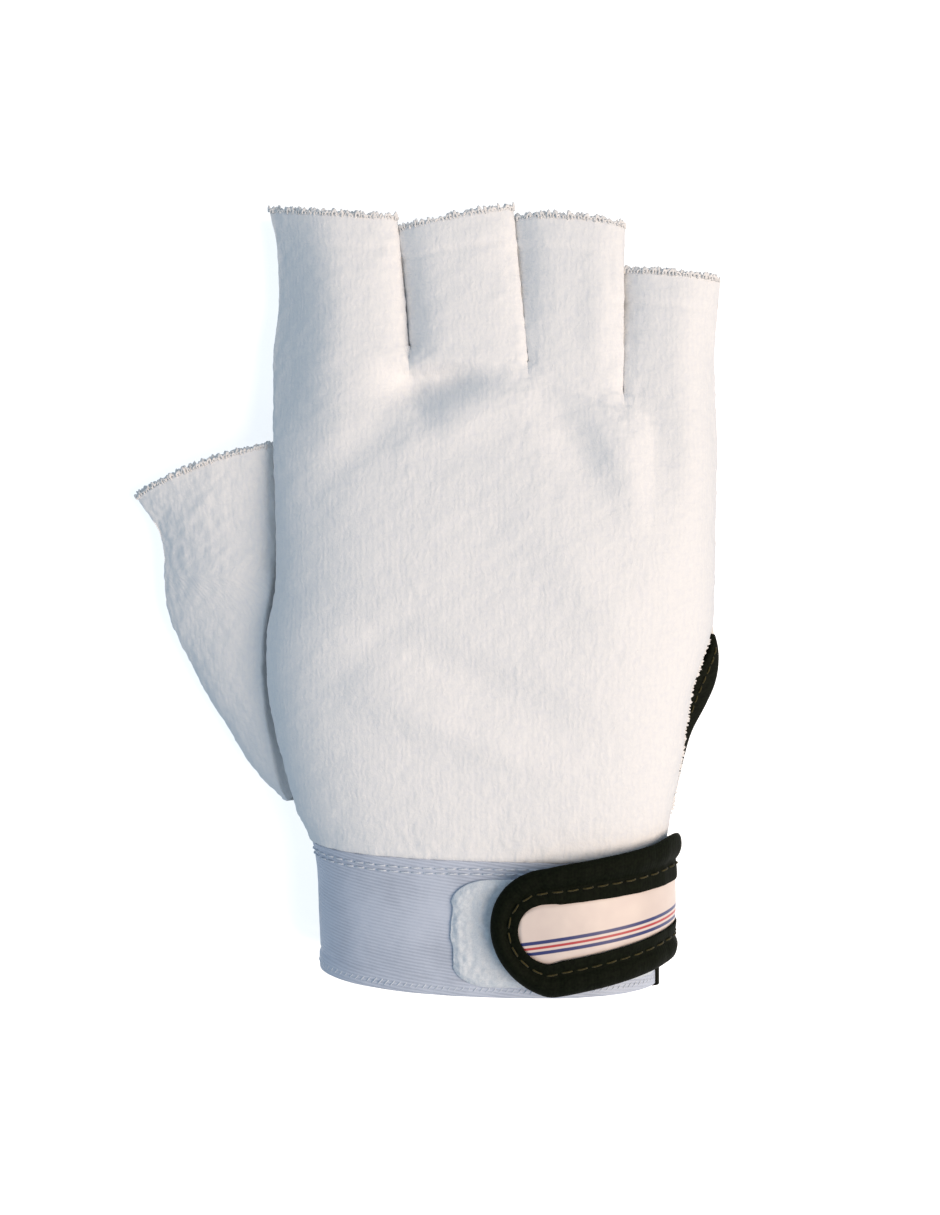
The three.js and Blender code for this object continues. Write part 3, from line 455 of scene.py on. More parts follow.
def hand_panel(panel):
    """Both skins of a hand panel, its quads, its cloth places and how free of its borders each place is."""
    columns, palm_rows, finger_rows = panel["columns"], panel["palm_rows"], panel["finger_rows"]
    outer, inner, cloth, border = [], [], [], []
    palm_grid = (4 * columns + 1, palm_rows + 1)
    palm_index = np.arange(palm_grid[0] * palm_grid[1]).reshape(palm_grid)
    skins = np.zeros((2, *palm_grid, 3))
    part = ease(np.arange(columns + 1) / columns)[:, None]
    run = (1 - (1 - np.arange(palm_rows) / palm_rows) ** 1.4)[None, :]
    for strip in range(4):
        here = slice(strip * columns, (strip + 1) * columns + 1)
        root = root_line(strip, part)[1]
        y = lerp(panel["bottom"](across(strip, part)), root, run)
        for skin in (0, 1):
            wide = np.broadcast_to(part, y.shape)
            skins[skin, here, :palm_rows] = palm_point(panel, strip, wide, y, root - y, skin)
            skins[skin, here, palm_rows] = finger_point(panel, strip, part[:, 0], 0.0, skin)
    for strip in range(1, 4):
        crotch = strip * columns
        skins[1, crotch, palm_rows, 0] = skins[0, crotch, palm_rows, 0]
        skins[1, crotch, palm_rows, 1] = skins[0, crotch, palm_rows, 1] - panel["rim"]
    length = path_length(skins[0])
    side = columns // 3
    width = cloth_across(skins[0], side, side)
    u = width - width[2 * columns] + skins[0, 2 * columns, :, 0]
    sides = np.minimum(length, length[-1] - length)
    below = skins[0, :, :, 1] - skins[0, :, :1, 1]
    outer.append(skins[0].reshape(-1, 3))
    inner.append(skins[1].reshape(-1, 3))
    cloth.append(stack(u, skins[0, :, :, 1], 0)[..., :2].reshape(-1, 2))
    border.append(np.minimum(np.minimum(sides, below), crotch_distance(skins[0])).ravel())
    quads = [grid_quads(palm_index)]
    total = palm_index.size
    for strip in range(4):
        start = palm_index[strip * columns:(strip + 1) * columns + 1, palm_rows]
        along_finger = (np.arange(1, finger_rows + 1) / finger_rows)[None, :]
        wide = np.broadcast_to(part, (columns + 1, finger_rows))
        finger = [finger_point(panel, strip, wide, along_finger, skin) for skin in (0, 1)]
        index = total + np.arange((columns + 1) * finger_rows).reshape(columns + 1, finger_rows)
        total += index.size
        quads.append(grid_quads(np.concatenate([start[:, None], index], axis=1)))
        length = path_length(finger[0])
        mid = columns // 2
        width = cloth_across(finger[0], side if strip == 0 else 0, side if strip == 3 else 0)
        root_mid = strip * columns + mid
        u_mid = finger[0][mid, :, 0] + u[root_mid, palm_rows] - skins[0, root_mid, palm_rows, 0]
        outer.append(finger[0].reshape(-1, 3))
        inner.append(finger[1].reshape(-1, 3))
        cloth.append(stack(width - width[mid] + u_mid, finger[0][..., 1], 0)[..., :2].reshape(-1, 2))
        border.append(np.minimum(length, length[-1] - length).ravel())
    return [np.concatenate(part) for part in (outer, inner, quads, cloth, border)]


def crotch_distance(points):
    """Distance in plan from the nearest place where two fingers meet."""
    ends = [np.array(base[0]) for base, *_ in FINGERS[1:]]
    return np.min([np.linalg.norm(points[..., :2] - end, axis=-1) for end in ends], axis=0)


def hem_distance(points):
    """Distance below the finger hem above each place, or a large number away from the fingers."""
    distance = np.full(len(points), 99.0)
    for base, hem, bow, _, _ in FINGERS:
        (x0, y0), (x1, y1) = hem
        part = (points[:, 0] - x0) / (x1 - x0)
        inside = (part > -0.05) & (part < 1.05) & (points[:, 1] > base[1][1] - 2)
        hem_y = lerp(y0, y1, np.clip(part, 0, 1)) + bow * finger_arch(part)
        distance = np.where(inside, np.minimum(distance, hem_y - points[:, 1]), distance)
    return distance


def terry_relief(points, border, seed, amount=1.0):
    """Rise of soft knitted terry: slanting wrinkles, hollows and small lumps of pile."""
    rise = 0.13 * lumps(points, 3.4, seed, (3.0, 1, 2), math.radians(32))
    rise = rise + 0.24 * lumps(points, 11.0, seed + 7, (1.5, 1, 1), math.radians(40))
    rise = rise * (0.25 + 0.75 * smooth(border, 0.2, 3.5))
    fine = 0.19 * lumps(points, 2.4, seed + 15) + 0.2 * lumps(points, 1.3, seed + 23)
    return amount * (rise + fine * (1 - 0.45 * smooth(border, 3, 12)))


# Materials


def tint(code):
    """Linear colour of an sRGB hex value."""
    values = [int(code[i:i + 2], 16) / 255 for i in (1, 3, 5)]
    return tuple(v / 12.92 if v <= 0.04045 else ((v + 0.055) / 1.055) ** 2.4 for v in values) + (1.0,)


def wave_scale(pitch):
    """Scale of a wave texture whose bands are pitch millimetres apart."""
    return 2 * math.pi / (20 * pitch)


def socket(value):
    """A node's first output, or the value itself."""
    return value.outputs[0] if isinstance(value, bpy.types.Node) else value


def add(tree, kind, inputs=None, stops=(), **settings):
    """Adds a node. A value is set on its socket and a node or socket is linked to it; stops are a ramp's."""
    made = tree.nodes.new("ShaderNode" + kind)
    for _ in stops[2:]:
        made.color_ramp.elements.new(0.5)
    for number, (place, colour) in enumerate(stops):
        made.color_ramp.elements[number].position = place
        made.color_ramp.elements[number].color = tint(colour)
    for name, value in settings.items():
        setattr(made, name, value)
    for name, value in (inputs or {}).items():
        value = socket(value)
        if isinstance(value, bpy.types.NodeSocket):
            tree.links.new(value, made.inputs[name])
        else:
            made.inputs[name].default_value = value
    return made


def material(name, shader_inputs, on_cloth=True):
    """A material with its tree, and the place on it in millimetres, along the cloth or in space."""
    made = bpy.data.materials.new(name)
    made.use_nodes = True
    tree = made.node_tree
    tree.nodes.clear()
    shader = add(tree, "BsdfPrincipled", shader_inputs)
    add(tree, "OutputMaterial", {"Surface": shader})
    place = add(tree, "UVMap", uv_map="cloth") if on_cloth else add(tree, "TexCoord").outputs["Object"]
    return made, tree, add(tree, "VectorMath", {0: place, "Scale": 1000.0}, operation="SCALE")


def dress(made, colour, height=None, strength=1.0, depth=0.0, **settings):
    """Gives a material its colour and a relief that is depth metres deep."""
    tree = made.node_tree
    shader = tree.nodes["Principled BSDF"]
    tree.links.new(socket(colour), shader.inputs["Base Color"])
    if height is not None:
        bump = add(tree, "Bump", {"Height": height, "Strength": strength, "Distance": depth}, **settings)
        tree.links.new(bump.outputs["Normal"], shader.inputs["Normal"])
    return made


def terry_material():
    """Cotton terry, looped on a knitted ground: matt, soft at its edges, with rows of small loops
    1.3 mm apart that run along the fingers and catch the light from one side. Its colour carries
    painted shade, darker and cooler in the hollows of the relief."""
    made, tree, mm = material("white_cotton_terry", {
        "Roughness": 1.0, "Sheen Weight": 0.35, "Sheen Roughness": 0.6,
        "Sheen Tint": tint("#FFFFFF"), "Specular IOR Level": 0.12,
    })
    drift = add(tree, "TexNoise", {"Vector": mm, "Scale": 0.3, "Detail": 3.0}).outputs["Color"]
    sway = add(tree, "VectorMath", {0: drift, 1: (0.5, 0.5, 0.5)}, operation="SUBTRACT")
    sway = add(tree, "VectorMath", {0: sway, "Scale": 2.4}, operation="SCALE")
    bent = add(tree, "VectorMath", {0: mm, 1: sway}, operation="ADD")
    loops_at = add(tree, "Mapping", {"Vector": bent, "Scale": (1 / WALE, 1 / LOOP_PITCH, 1.0)})
    loops = add(tree, "TexVoronoi", {"Vector": loops_at, "Scale": 1.0, "Randomness": 0.62},
                feature="SMOOTH_F1", voronoi_dimensions="2D")
    loops = add(tree, "MapRange", {"Value": loops, "From Max": 0.7, "To Min": 1.0, "To Max": 0.0})
    wales = add(tree, "TexWave", {"Vector": bent, "Scale": wave_scale(WALE), "Distortion": 0.0},
                wave_type="BANDS", bands_direction="X", wave_profile="SIN").outputs["Fac"]
    lump = add(tree, "TexNoise", {"Vector": mm, "Scale": 0.55, "Detail": 3.0, "Roughness": 0.6})
    fibre = add(tree, "TexNoise", {"Vector": bent, "Scale": 3.2, "Detail": 2.0, "Roughness": 0.7})
    streak_at = add(tree, "Mapping", {"Vector": bent, "Scale": (1.15, 0.5, 1.0)})
    streak = add(tree, "TexNoise", {"Vector": streak_at, "Scale": 1.0, "Detail": 2.0, "Roughness": 0.5})
    relief = add(tree, "Math", {0: wales, 1: 0.13}, operation="MULTIPLY")
    for part, weight in ((streak, 0.7), (loops, 0.32), (lump, 0.7), (fibre, 0.5)):
        relief = add(tree, "Math", {0: part, 1: weight, 2: relief}, operation="MULTIPLY_ADD")
    # Painted shade: the colour is darker and cooler where the relief is low, in the hollows between loops and
    # lumps
    painted_hollow_shade = add(tree, "MapRange", {"Value": relief, "From Min": 0.85, "From Max": 1.65})
    colour = add(tree, "ValToRGB", {"Fac": painted_hollow_shade}, [(0.0, "#E9EAED"), (0.5, "#EFEFEF"), (1.0, "#F4F3F2")])
    return dress(made, colour, relief, 0.8, 0.00015)


def leather_material():
    """Synthetic palm leather, suede-coated polyurethane: pale, low sheen, fine pebbled grain."""
    made, tree, mm = material("palm_synthetic_leather", {
        "Roughness": 0.62, "Specular IOR Level": 0.35, "Sheen Weight": 0.15,
    }, on_cloth=False)
    grain = add(tree, "TexVoronoi", {"Vector": mm, "Scale": 1.3}, feature="F1")
    wide = add(tree, "TexNoise", {"Vector": mm, "Scale": 0.12, "Detail": 3.0})
    height = add(tree, "Math", {0: wide, 1: 0.8, 2: grain}, operation="MULTIPLY_ADD")
    colour = add(tree, "ValToRGB", {"Fac": wide}, [(0.3, "#D9D6D1"), (0.7, "#E9E7E3")])
    return dress(made, colour, height, 0.5, 0.0002)


def elastic_material():
    """Woven polyester elastic, satin faced: slanting ribs 0.8 mm apart with a soft cool lustre."""
    made, tree, mm = material("satin_elastic", {
        "Roughness": 0.55, "Specular IOR Level": 0.4, "Sheen Weight": 0.1,
    })
    slant = add(tree, "Mapping", {"Vector": mm, "Rotation": (0, 0, math.radians(9))})
    ribs = add(tree, "TexWave", {"Vector": slant, "Scale": wave_scale(0.8), "Distortion": 0.9, "Detail": 2.0,
                                 "Detail Scale": 0.8},
               wave_type="BANDS", bands_direction="Y", wave_profile="SIN").outputs["Fac"]
    thread_at = add(tree, "Mapping", {"Vector": slant, "Scale": (1.7, 3.4, 1)})
    threads = add(tree, "TexNoise", {"Vector": thread_at, "Scale": 1.0, "Detail": 2.0})
    wide = add(tree, "TexNoise", {"Vector": mm, "Scale": 0.09, "Detail": 2.0})
    height = add(tree, "Math", {0: threads, 1: 0.9, 2: ribs}, operation="MULTIPLY_ADD")
    mixed = add(tree, "Math", {0: height, 1: 0.35, 2: wide}, operation="MULTIPLY_ADD")
    colour = add(tree, "ValToRGB", {"Fac": mixed}, [(0.45, "#A7B0C0"), (0.95, "#C4CDDD")])
    return dress(made, colour, height, 0.7, 0.00007)


def pile_material():
    """Brushed nylon loop fastener: fuzzy, matt, cool white with tangled fibres under 1 mm across."""
    made, tree, mm = material("brushed_loop_pile", {
        "Roughness": 0.95, "Sheen Weight": 0.5, "Sheen Roughness": 0.5, "Specular IOR Level": 0.15,
    })
    tangle = add(tree, "TexNoise", {"Vector": mm, "Scale": 1.6, "Detail": 4.0, "Roughness": 0.75,
                                    "Distortion": 1.4})
    colour = add(tree, "ValToRGB", {"Fac": tangle}, [(0.3, "#CBD5DF"), (0.62, "#E5ECF2")])
    return dress(made, colour, tangle, 0.8, 0.0003)


def hook_material():
    """Moulded nylon hook fastener: pale, half gloss, with rows of hooks 1.4 mm apart."""
    made, tree, mm = material("moulded_nylon_hooks", {"Roughness": 0.45, "IOR": 1.53})
    hooks = add(tree, "TexVoronoi", {"Vector": mm, "Scale": 0.7, "Randomness": 0.1}, feature="F1")
    colour = add(tree, "ValToRGB", {"Fac": hooks}, [(0.1, "#E2E4E6"), (0.7, "#B9BDC2")])
    return dress(made, colour, hooks, 1.0, 0.0006, invert=True)


def tape_material(name, dark, light):
    """Black knitted nylon binding: slightly shiny, with fine ribs under 1 mm across the tape."""
    made, tree, mm = material(name, {"Roughness": 0.72, "Specular IOR Level": 0.07})
    ribs = add(tree, "TexWave", {"Vector": mm, "Scale": wave_scale(0.8), "Distortion": 0.8, "Detail": 2.0},
               wave_type="BANDS", bands_direction="X").outputs["Fac"]
    lint = add(tree, "TexNoise", {"Vector": mm, "Scale": 1.1, "Detail": 4.0, "Roughness": 0.7})
    height = add(tree, "Math", {0: lint, 1: 1.2, 2: ribs}, operation="MULTIPLY_ADD")
    colour = add(tree, "ValToRGB", {"Fac": lint}, [(0.35, dark), (0.75, light)])
    return dress(made, colour, height, 0.4, 0.00005)


def strap_material():
    """Black polyester webbing under the tab's plate, a plain weave with threads 0.9 mm apart."""
    made, tree, mm = material("black_webbing", {"Roughness": 0.7, "Specular IOR Level": 0.3})
    weave = add(tree, "TexChecker", {"Vector": mm, "Scale": 1.1, "Color1": tint("#0F1211"),
                                     "Color2": tint("#1E2320")})
    return dress(made, weave, weave.outputs["Fac"], 0.5, 0.0002)


def plate_material():
    """Soft PVC plate: cream, half gloss, with faint unevenness and three printed pinstripes along it."""
    made, tree, mm = material("cream_soft_pvc", {
        "Roughness": 0.4, "IOR": 1.5, "Coat Weight": 0.25, "Coat Roughness": 0.2,
    })
    wide = add(tree, "TexNoise", {"Vector": mm, "Scale": 0.14, "Detail": 2.0})
    base = add(tree, "ValToRGB", {"Fac": wide}, [(0.3, "#D9C9C1"), (0.7, "#E2D3C9")])
    height = add(tree, "SeparateXYZ", {0: mm}).outputs["Y"]
    for place, half, colour in PINSTRIPES:
        off = add(tree, "Math", {0: height, 1: place}, operation="SUBTRACT")
        off = add(tree, "Math", {0: off}, operation="ABSOLUTE")
        line = add(tree, "MapRange", {"Value": off, "From Min": half - 0.08, "From Max": half + 0.08,
                                      "To Min": 1.0, "To Max": 0.0})
        base = add(tree, "Mix", {0: line, 6: base, 7: tint(colour)}, data_type="RGBA").outputs[2]
    return dress(made, base, wide, 0.5, 0.0006)


def thread_material(name, dark, light):
    """Spun polyester sewing thread: twisted plies, a slight lustre."""
    made, tree, mm = material(name, {
        "Roughness": 0.7, "Specular IOR Level": 0.15, "Sheen Weight": 0.1,
    }, on_cloth=False)
    ply = add(tree, "TexNoise", {"Vector": mm, "Scale": 2.4, "Detail": 2.0})
    return dress(made, add(tree, "ValToRGB", {"Fac": ply}, [(0.3, dark), (0.7, light)]))


def floor_material():
    """Matt white paper sweep with a trace of its own unevenness."""
    made, tree, mm = material("matt_white_paper", {
        "Roughness": 1.0, "Specular IOR Level": 0.0, "Emission Color": tint("#FFFFFF"),
        "Emission Strength": 0.62,
    }, on_cloth=False)
    fibre = add(tree, "TexNoise", {"Vector": mm, "Scale": 0.09, "Detail": 3.0})
    return dress(made, add(tree, "ValToRGB", {"Fac": fibre}, [(0.2, "#F6F6F6"), (0.8, "#FAFAFA")]))


TERRY_CLOTH = terry_material()
PALM_CLOTH = leather_material()
ELASTIC = elastic_material()
PILE = pile_material()
HOOKS = hook_material()
BINDING = tape_material("black_binding_tape", "#060803", "#141A0D")
SLIT_BINDING = tape_material("black_slit_binding", "#070904", "#1B1F14")
WEBBING = strap_material()
PLATE = plate_material()
WHITE_THREAD = thread_material("white_thread", "#BFC8D4", "#DCE2EA")
OLIVE_THREAD = thread_material("olive_thread", "#2A260F", "#4A4220")
LOOP_YARN = thread_material("terry_loop_yarn", "#E0DEDC", "#F3F2F1")

# Hand panels

PANEL_BACK = dict(back=True, wall=TERRY, rim=TERRY_RIM, thumb_rim=2.4, seam_shift=0.0,
                  columns=44, palm_rows=160, finger_rows=46, bottom=cuff_seam)
PANEL_PALM = dict(back=False, wall=LEATHER, rim=LEATHER_RIM, thumb_rim=0.0, seam_shift=-SEAM_GAP,
                  columns=18, palm_rows=90, finger_rows=24, bottom=lambda part: wrist_hem(part) + HEM_BACK)


def make_back():
    outer, inner, quads, cloth, border = hand_panel(PANEL_BACK)
    normals = vertex_normals(outer, quads)
    rise = terry_relief(outer, border, 3.0)
    below_hem = hem_distance(outer)
    turned = HEM_RISE * (1 - smooth(below_hem, HEM_DEPTH - 1.0, HEM_DEPTH + 1.2))
    groove = -HEM_RISE * np.exp(-((below_hem - HEM_DEPTH - 0.6) / 0.8) ** 2)
    rise = rise + (turned + groove) * smooth(border, 0.2, 3)
    shift = normals * rise[:, None]
    return shell("terry_back", outer + shift, inner + shift, quads, cloth, TERRY_CLOTH,
                 TERRY_BULGE)


def make_palm():
    outer, inner, quads, cloth, _ = hand_panel(PANEL_PALM)
    return shell("leather_palm", outer, inner, quads[:, ::-1], cloth, PALM_CLOTH,
                 LEATHER_BULGE)


back = make_back()
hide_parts("back_panel")
palm = make_palm()
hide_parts("palm_panel")

# Thumb


def thumb_point(row, around, skin):
    """A place on the thumb, where around runs from the seam over the top and back under the palm."""
    table = [(number,) + section for number, section in enumerate(THUMB)]
    left_x, left_y, right_x, right_y, middle, up, down, open_ = (along(table, c, row) for c in range(1, 9))
    open_ = np.clip(open_, 0, 1)
    lip = np.maximum(around, THUMB_LIP)
    upper = lip <= 0.5
    part = ease(np.where(upper, 2 * lip, 2 - 2 * lip))
    lean = part**0.7
    lens = np.where(lean < 0.5, arch(lean, 3.0, 0.42), finger_arch(lean))
    quarter = np.maximum(0, 1 - part**1.9) ** 0.8
    shape = lerp(lens, quarter, open_ * np.where(upper, TUCK_HEIGHT, 1.0))
    inset = THUMB_RIM * skin
    seam_x = np.where(upper, right_x + TUCK_REACH, palm_left(right_y) - SEAM_GAP)
    near_x = lerp(right_x + THUMB_CLOSE - inset, seam_x, open_)
    x = lerp(near_x, left_x + inset, part)
    bow = THUMB_BOW * smooth(row, 6, len(THUMB) - 1) * finger_arch(part)
    y = lerp(right_y, left_y, part) + bow
    rise = np.where(upper, up - TERRY * skin, -(down - TERRY * skin))
    z = middle + rise * shape
    tuck = np.where(upper, open_ * smooth(x, right_x - 1.5, right_x + 0.2), 0)
    z = z - np.minimum(THUMB_GROOVE * tuck, np.maximum(z - 3, 0))
    lip_part = np.clip(around / THUMB_LIP, 0, 1)
    lip_z = lerp(middle, hand(LEFT_SEAM, right_y) - SEAM_GAP, open_)
    x = lerp(near_x + TERRY * skin * open_, x, lip_part)
    y = lerp(right_y + 0 * x, y, lip_part)
    return stack(x, y, lerp(lip_z, z, lip_part))


def make_thumb():
    sides, rows = 140, 150
    around = (np.arange(sides + 1) / sides)[:, None]
    row = (np.arange(rows + 1) / rows * (len(THUMB) - 1))[None, :]
    around, row = np.broadcast_arrays(around, row)
    outer, inner = (thumb_point(row, around, skin) for skin in (0, 1))
    closed = int(round(THUMB_CLOSED * rows / (len(THUMB) - 1)))
    outer[sides, closed:] = outer[0, closed:]
    inner[sides, closed:] = inner[0, closed:]
    inner[[0, sides], closed, 0] = outer[[0, sides], closed, 0]
    inner[[0, sides], closed, 1] = outer[[0, sides], closed, 1] - TERRY_RIM
    index = np.arange((sides + 1) * (rows + 1)).reshape(sides + 1, rows + 1)
    length = path_length(outer)
    cloth = stack(length, outer[..., 1], 0)[..., :2].reshape(-1, 2)
    border = np.minimum(length, length[-1:] - length)
    border[:, closed:] = 9.0
    index[sides, closed:] = index[0, closed:]
    quads = grid_quads(index)[:, ::-1]
    flat_outer, flat_inner = outer.reshape(-1, 3), inner.reshape(-1, 3)
    used, number = np.unique(quads, return_inverse=True)
    quads = number.reshape(quads.shape)
    flat_outer, flat_inner = flat_outer[used], flat_inner[used]
    cloth, border = cloth[used], border.ravel()[used]
    normals = vertex_normals(flat_outer, quads)
    rise = terry_relief(flat_outer, border, 31.0, 1.7)
    lift = np.where(flat_outer[:, 2] < 3.0, np.maximum(rise, 0) * 0.3, rise)
    shift = normals * lift[:, None]
    shift[:, 2] = np.where(flat_outer[:, 2] + shift[:, 2] < 0.3, 0.0, shift[:, 2])
    return shell("terry_thumb", flat_outer + shift, flat_inner + shift, quads, cloth, TERRY_CLOTH,
                 TERRY_BULGE)


thumb = make_thumb()
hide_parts("thumb")

# Wrist pieces, laid round the wrist by its girth


def wrist_loop(turn, y):
    """Round the wrist: 0 at the thumb side, over the back to 1, and on under the palm to 2."""
    under = turn > 1
    part = ease(np.where(under, 2 - turn, turn))
    edge = lerp(hand(LEFT_SEAM, y), SLIT_SIDE_LEVEL, part)
    x = lerp(hand(LEFT, y), hand(PALM_RIGHT, y), part)
    shape = hand_arch(part, y)
    over = edge + (hand(CROWN, y) - edge) * shape
    z = np.where(under, underside(edge, shape, PALM_SINK), over)
    return stack(x, y, z)


GIRTH_TURN, GIRTH_STEPS, GIRTH_LEVEL = 1.6, 240, -72.0  # how far round, in how many steps and at which y


def girth_table():
    """Length round the wrist from the palm's edge on the little finger side, and the turn that it is."""
    turn = GIRTH_TURN * np.arange(GIRTH_STEPS + 1) / GIRTH_STEPS
    length = path_length(wrist_loop(turn, GIRTH_LEVEL))
    edge = length[np.argmax(turn >= 1)]
    return np.stack([length - edge, turn], axis=1)


GIRTH = girth_table()


def wrist_outward(turn, y, step):
    tangent = unit(wrist_loop(turn + step, y) - wrist_loop(np.maximum(turn - step, 0.001), y))
    return stack(-tangent[..., 2], 0, tangent[..., 0])


def wrap(girth, y, height):
    """Places at a height over the wrist, by their girth and y."""
    girth, y, height = np.broadcast_arrays(*(np.asarray(v, float) for v in (girth, y, height)))
    where = np.clip(girth, GIRTH[0, 0] + 0.01, GIRTH[-1, 0] - 0.01)
    turn = along(GIRTH, 1, where)
    return wrist_loop(turn, y) + wrist_outward(turn, y, 0.03) * height[..., None]


def wrist_plate(name, columns, rows, outline, under, wall, surface, relief=None, bulge=0.15):
    """A plate round the wrist. outline gives girth and y; under is its height, or gives it by girth."""
    u, v = np.meshgrid(np.arange(columns + 1) / columns, np.arange(rows + 1) / rows, indexing="ij")
    girth, y = outline(u, v)
    low = under(girth) if callable(under) else under + 0 * girth
    high = low + wall + (relief(girth, y, u, v) if relief else 0)
    outer, inner = (wrap(girth, y, height).reshape(-1, 3) for height in (high, low))
    index = np.arange(u.size).reshape(u.shape)
    cloth = stack(girth, y, 0)[..., :2].reshape(-1, 2)
    return shell(name, outer, inner, grid_quads(index), cloth, surface, bulge)


LEVEL_PATCH = -BAND_DROP + SEAM_GAP
LEVEL_HOOK = LEVEL_PATCH + PATCH["wall"] + SEAM_GAP
LEVEL_TAB = LEVEL_HOOK + HOOK["wall"] + SEAM_GAP


def make_band():
    def outline(u, v):
        return lerp(GIRTH[0, 0] + BAND_INSET, BAND_END, u), lerp(wrist_hem(u), cuff_seam(u) - SEAM_GAP, v)

    def relief(girth, y, u, v):
        above = y - wrist_hem(u)
        hem = 0.28 * (1 - smooth(above, 3.0, 4.2)) - 0.25 * np.exp(-((above - 4.4) / 0.5) ** 2)
        flat = stack(girth, y, 0)
        return hem + 0.16 * lumps(flat, 9.0, 51.0, (1, 2.5, 1)) + 0.05 * lumps(flat, 2.0, 57.0)

    return wrist_plate("elastic_band", 220, 70, outline, BAND_UNDER, BAND_WALL, ELASTIC, relief)


def make_band_binding():
    def outline(u, v):
        return (lerp(BAND_BINDING["left"], BAND_BINDING["right"], u),
                lerp(WRIST_HEM[1] + BAND_BINDING["bottom"], CUFF_SEAM + BAND_BINDING["top"], v))

    def relief(girth, y, u, v):
        return 0.25 * np.sin(np.pi * u)

    return wrist_plate("band_binding", 8, 40, outline, BAND_UNDER, BAND_BINDING["rise"] - BAND_UNDER, BINDING,
                       relief, 0.3)


def patch_outline(u, v):
    half = (PATCH["top"] - PATCH["bottom"]) / 2
    middle = (PATCH["top"] + PATCH["bottom"]) / 2
    wobble = 0.3 * np.sin(9 * v) + 0.1 * np.sin(23 * v + 1)  # of an edge cut by hand
    girth = lerp(PATCH["left"] + wobble, PATCH["right"], u**1.4)
    near = np.clip((girth - PATCH["left"]) / PATCH["corner"], 0, 1)
    height = half * (0.55 + 0.45 * np.sqrt(1 - (1 - near) ** 2))
    return girth, middle + height * (2 * v - 1)


def make_loop_patch():
    def relief(girth, y, u, v):
        flat = stack(girth, y, 0)
        edge = np.minimum(np.minimum(v, 1 - v) * PATCH["height"], girth - PATCH["left"])
        rim = -0.7 * (1 - smooth(edge, -0.2, 1.8))
        line = -0.12 * np.exp(-((edge - 4.6) / 0.7) ** 2)
        return rim + line + 0.26 * lumps(flat, 1.9, 71.0) + 0.2 * lumps(flat, 1.0, 77.0)

    return wrist_plate("loop_pile_patch", 130, 66, patch_outline, LEVEL_PATCH, PATCH["wall"], PILE,
                       relief)


def tab_lift(girth):
    return lerp(LEVEL_TAB, TAB["over_palm"], smooth(girth, TAB["root"] - TAB["dive"], TAB["root"]))


def tab_taper(girth):
    return TAB["taper"] * smooth(girth, AXIS["start"], TAB["root"])


def tab_middle(girth):
    slope = np.where(girth > AXIS["start"], AXIS["rise"], -AXIS["tip_rise"])
    level_off = AXIS["rise"] * np.maximum(0, girth - AXIS["level"]) ** 2 / AXIS["fade"]
    return AXIS["y"] + slope * (girth - AXIS["start"]) - level_off


def tab_outline(inset, root):
    """Outline of a plate inset from the tab's edge, round at its tip and straight up to the root."""
    radius, tip, bend = TAB["half"] - inset, TAB["tip"] + inset - TIP_PRESS * TAPE["width"], 0.45

    def outline(u, v):
        curve = radius * (1 - np.cos((0.06 + 0.94 * np.minimum(u / bend, 1)) * math.pi / 2))
        curve = np.where(u < bend, curve, radius)
        girth = tip + curve + np.maximum(0, (u - bend) / (1 - bend)) * (root - tip - radius)
        beyond = np.maximum(0, 1 - curve / radius)
        half = radius * np.sqrt(1 - beyond**2) - tab_taper(girth)
        return girth, tab_middle(girth) + half * (2 * v - 1)

    return outline


def hook_outline(u, v):
    girth = lerp(HOOK["left"], HOOK["right"], u)
    return girth, tab_middle(girth) + HOOK["half"] * (2 * v - 1)


def make_tab_core():
    return wrist_plate("tab_webbing", 60, 16, tab_outline(TAPE["width"] + SEAM_GAP, TAB["root"]), tab_lift,
                       CORE_WALL, WEBBING)


def make_insert():
    outline = tab_outline(TAPE["width"] + SEAM_GAP, TAB["root"] - INSERT_TRIM)

    def under(girth):
        return tab_lift(girth) + CORE_WALL + SEAM_GAP

    def relief(girth, y, u, v):
        start = TAB["tip"] + (1 - TIP_PRESS) * TAPE["width"] + SEAM_GAP
        edge = np.minimum(np.minimum(v, 1 - v) * INSERT_HEIGHT, girth - start)
        return -0.35 * (1 - smooth(edge, 0.0, 1.2)) + 0.25 * np.sin(np.pi * v)

    piece = wrist_plate("tab_plate", 90, 36, outline, under, INSERT_WALL, PLATE, relief)
    cloth = piece.data.uv_layers["cloth"].data
    uv = np.empty(len(cloth) * 2, np.float32)
    cloth.foreach_get("uv", uv)
    uv = uv.reshape(-1, 2)
    uv[:, 1] -= ((AXIS["y"] + AXIS["rise"] * (uv[:, 0] / MM - AXIS["start"])) * MM).astype(np.float32)
    cloth.foreach_set("uv", uv.ravel())
    return piece


# Swept tapes


def sweep(name, rings, cloth_u, cloth_v, surface):
    """A solid through rings of equal length, closed at both ends, then smoothed once."""
    count, size = rings.shape[:2]
    points = rings.reshape(-1, 3)
    index = np.arange(count * size).reshape(count, size)
    turned = np.roll(index, -1, axis=1)
    faces = [tuple(f) for f in np.stack(
        [index[:-1].ravel(), turned[:-1].ravel(), turned[1:].ravel(), index[1:].ravel()], axis=-1).tolist()]
    faces += [tuple(index[0][::-1].tolist()), tuple(index[-1].tolist())]
    cloth = stack(cloth_u[:, None], cloth_v[None, :], 0)[..., :2].reshape(-1, 2)
    piece = new_piece(name, points, faces, surface, cloth)
    finer = piece.modifiers.new("finer", "SUBSURF")
    finer.levels = finer.render_levels = 1
    bpy.ops.object.select_all(action="DESELECT")
    bpy.context.view_layer.objects.active = piece
    piece.select_set(True)
    bpy.ops.object.modifier_apply(modifier="finer")
    piece.select_set(False)
    return piece


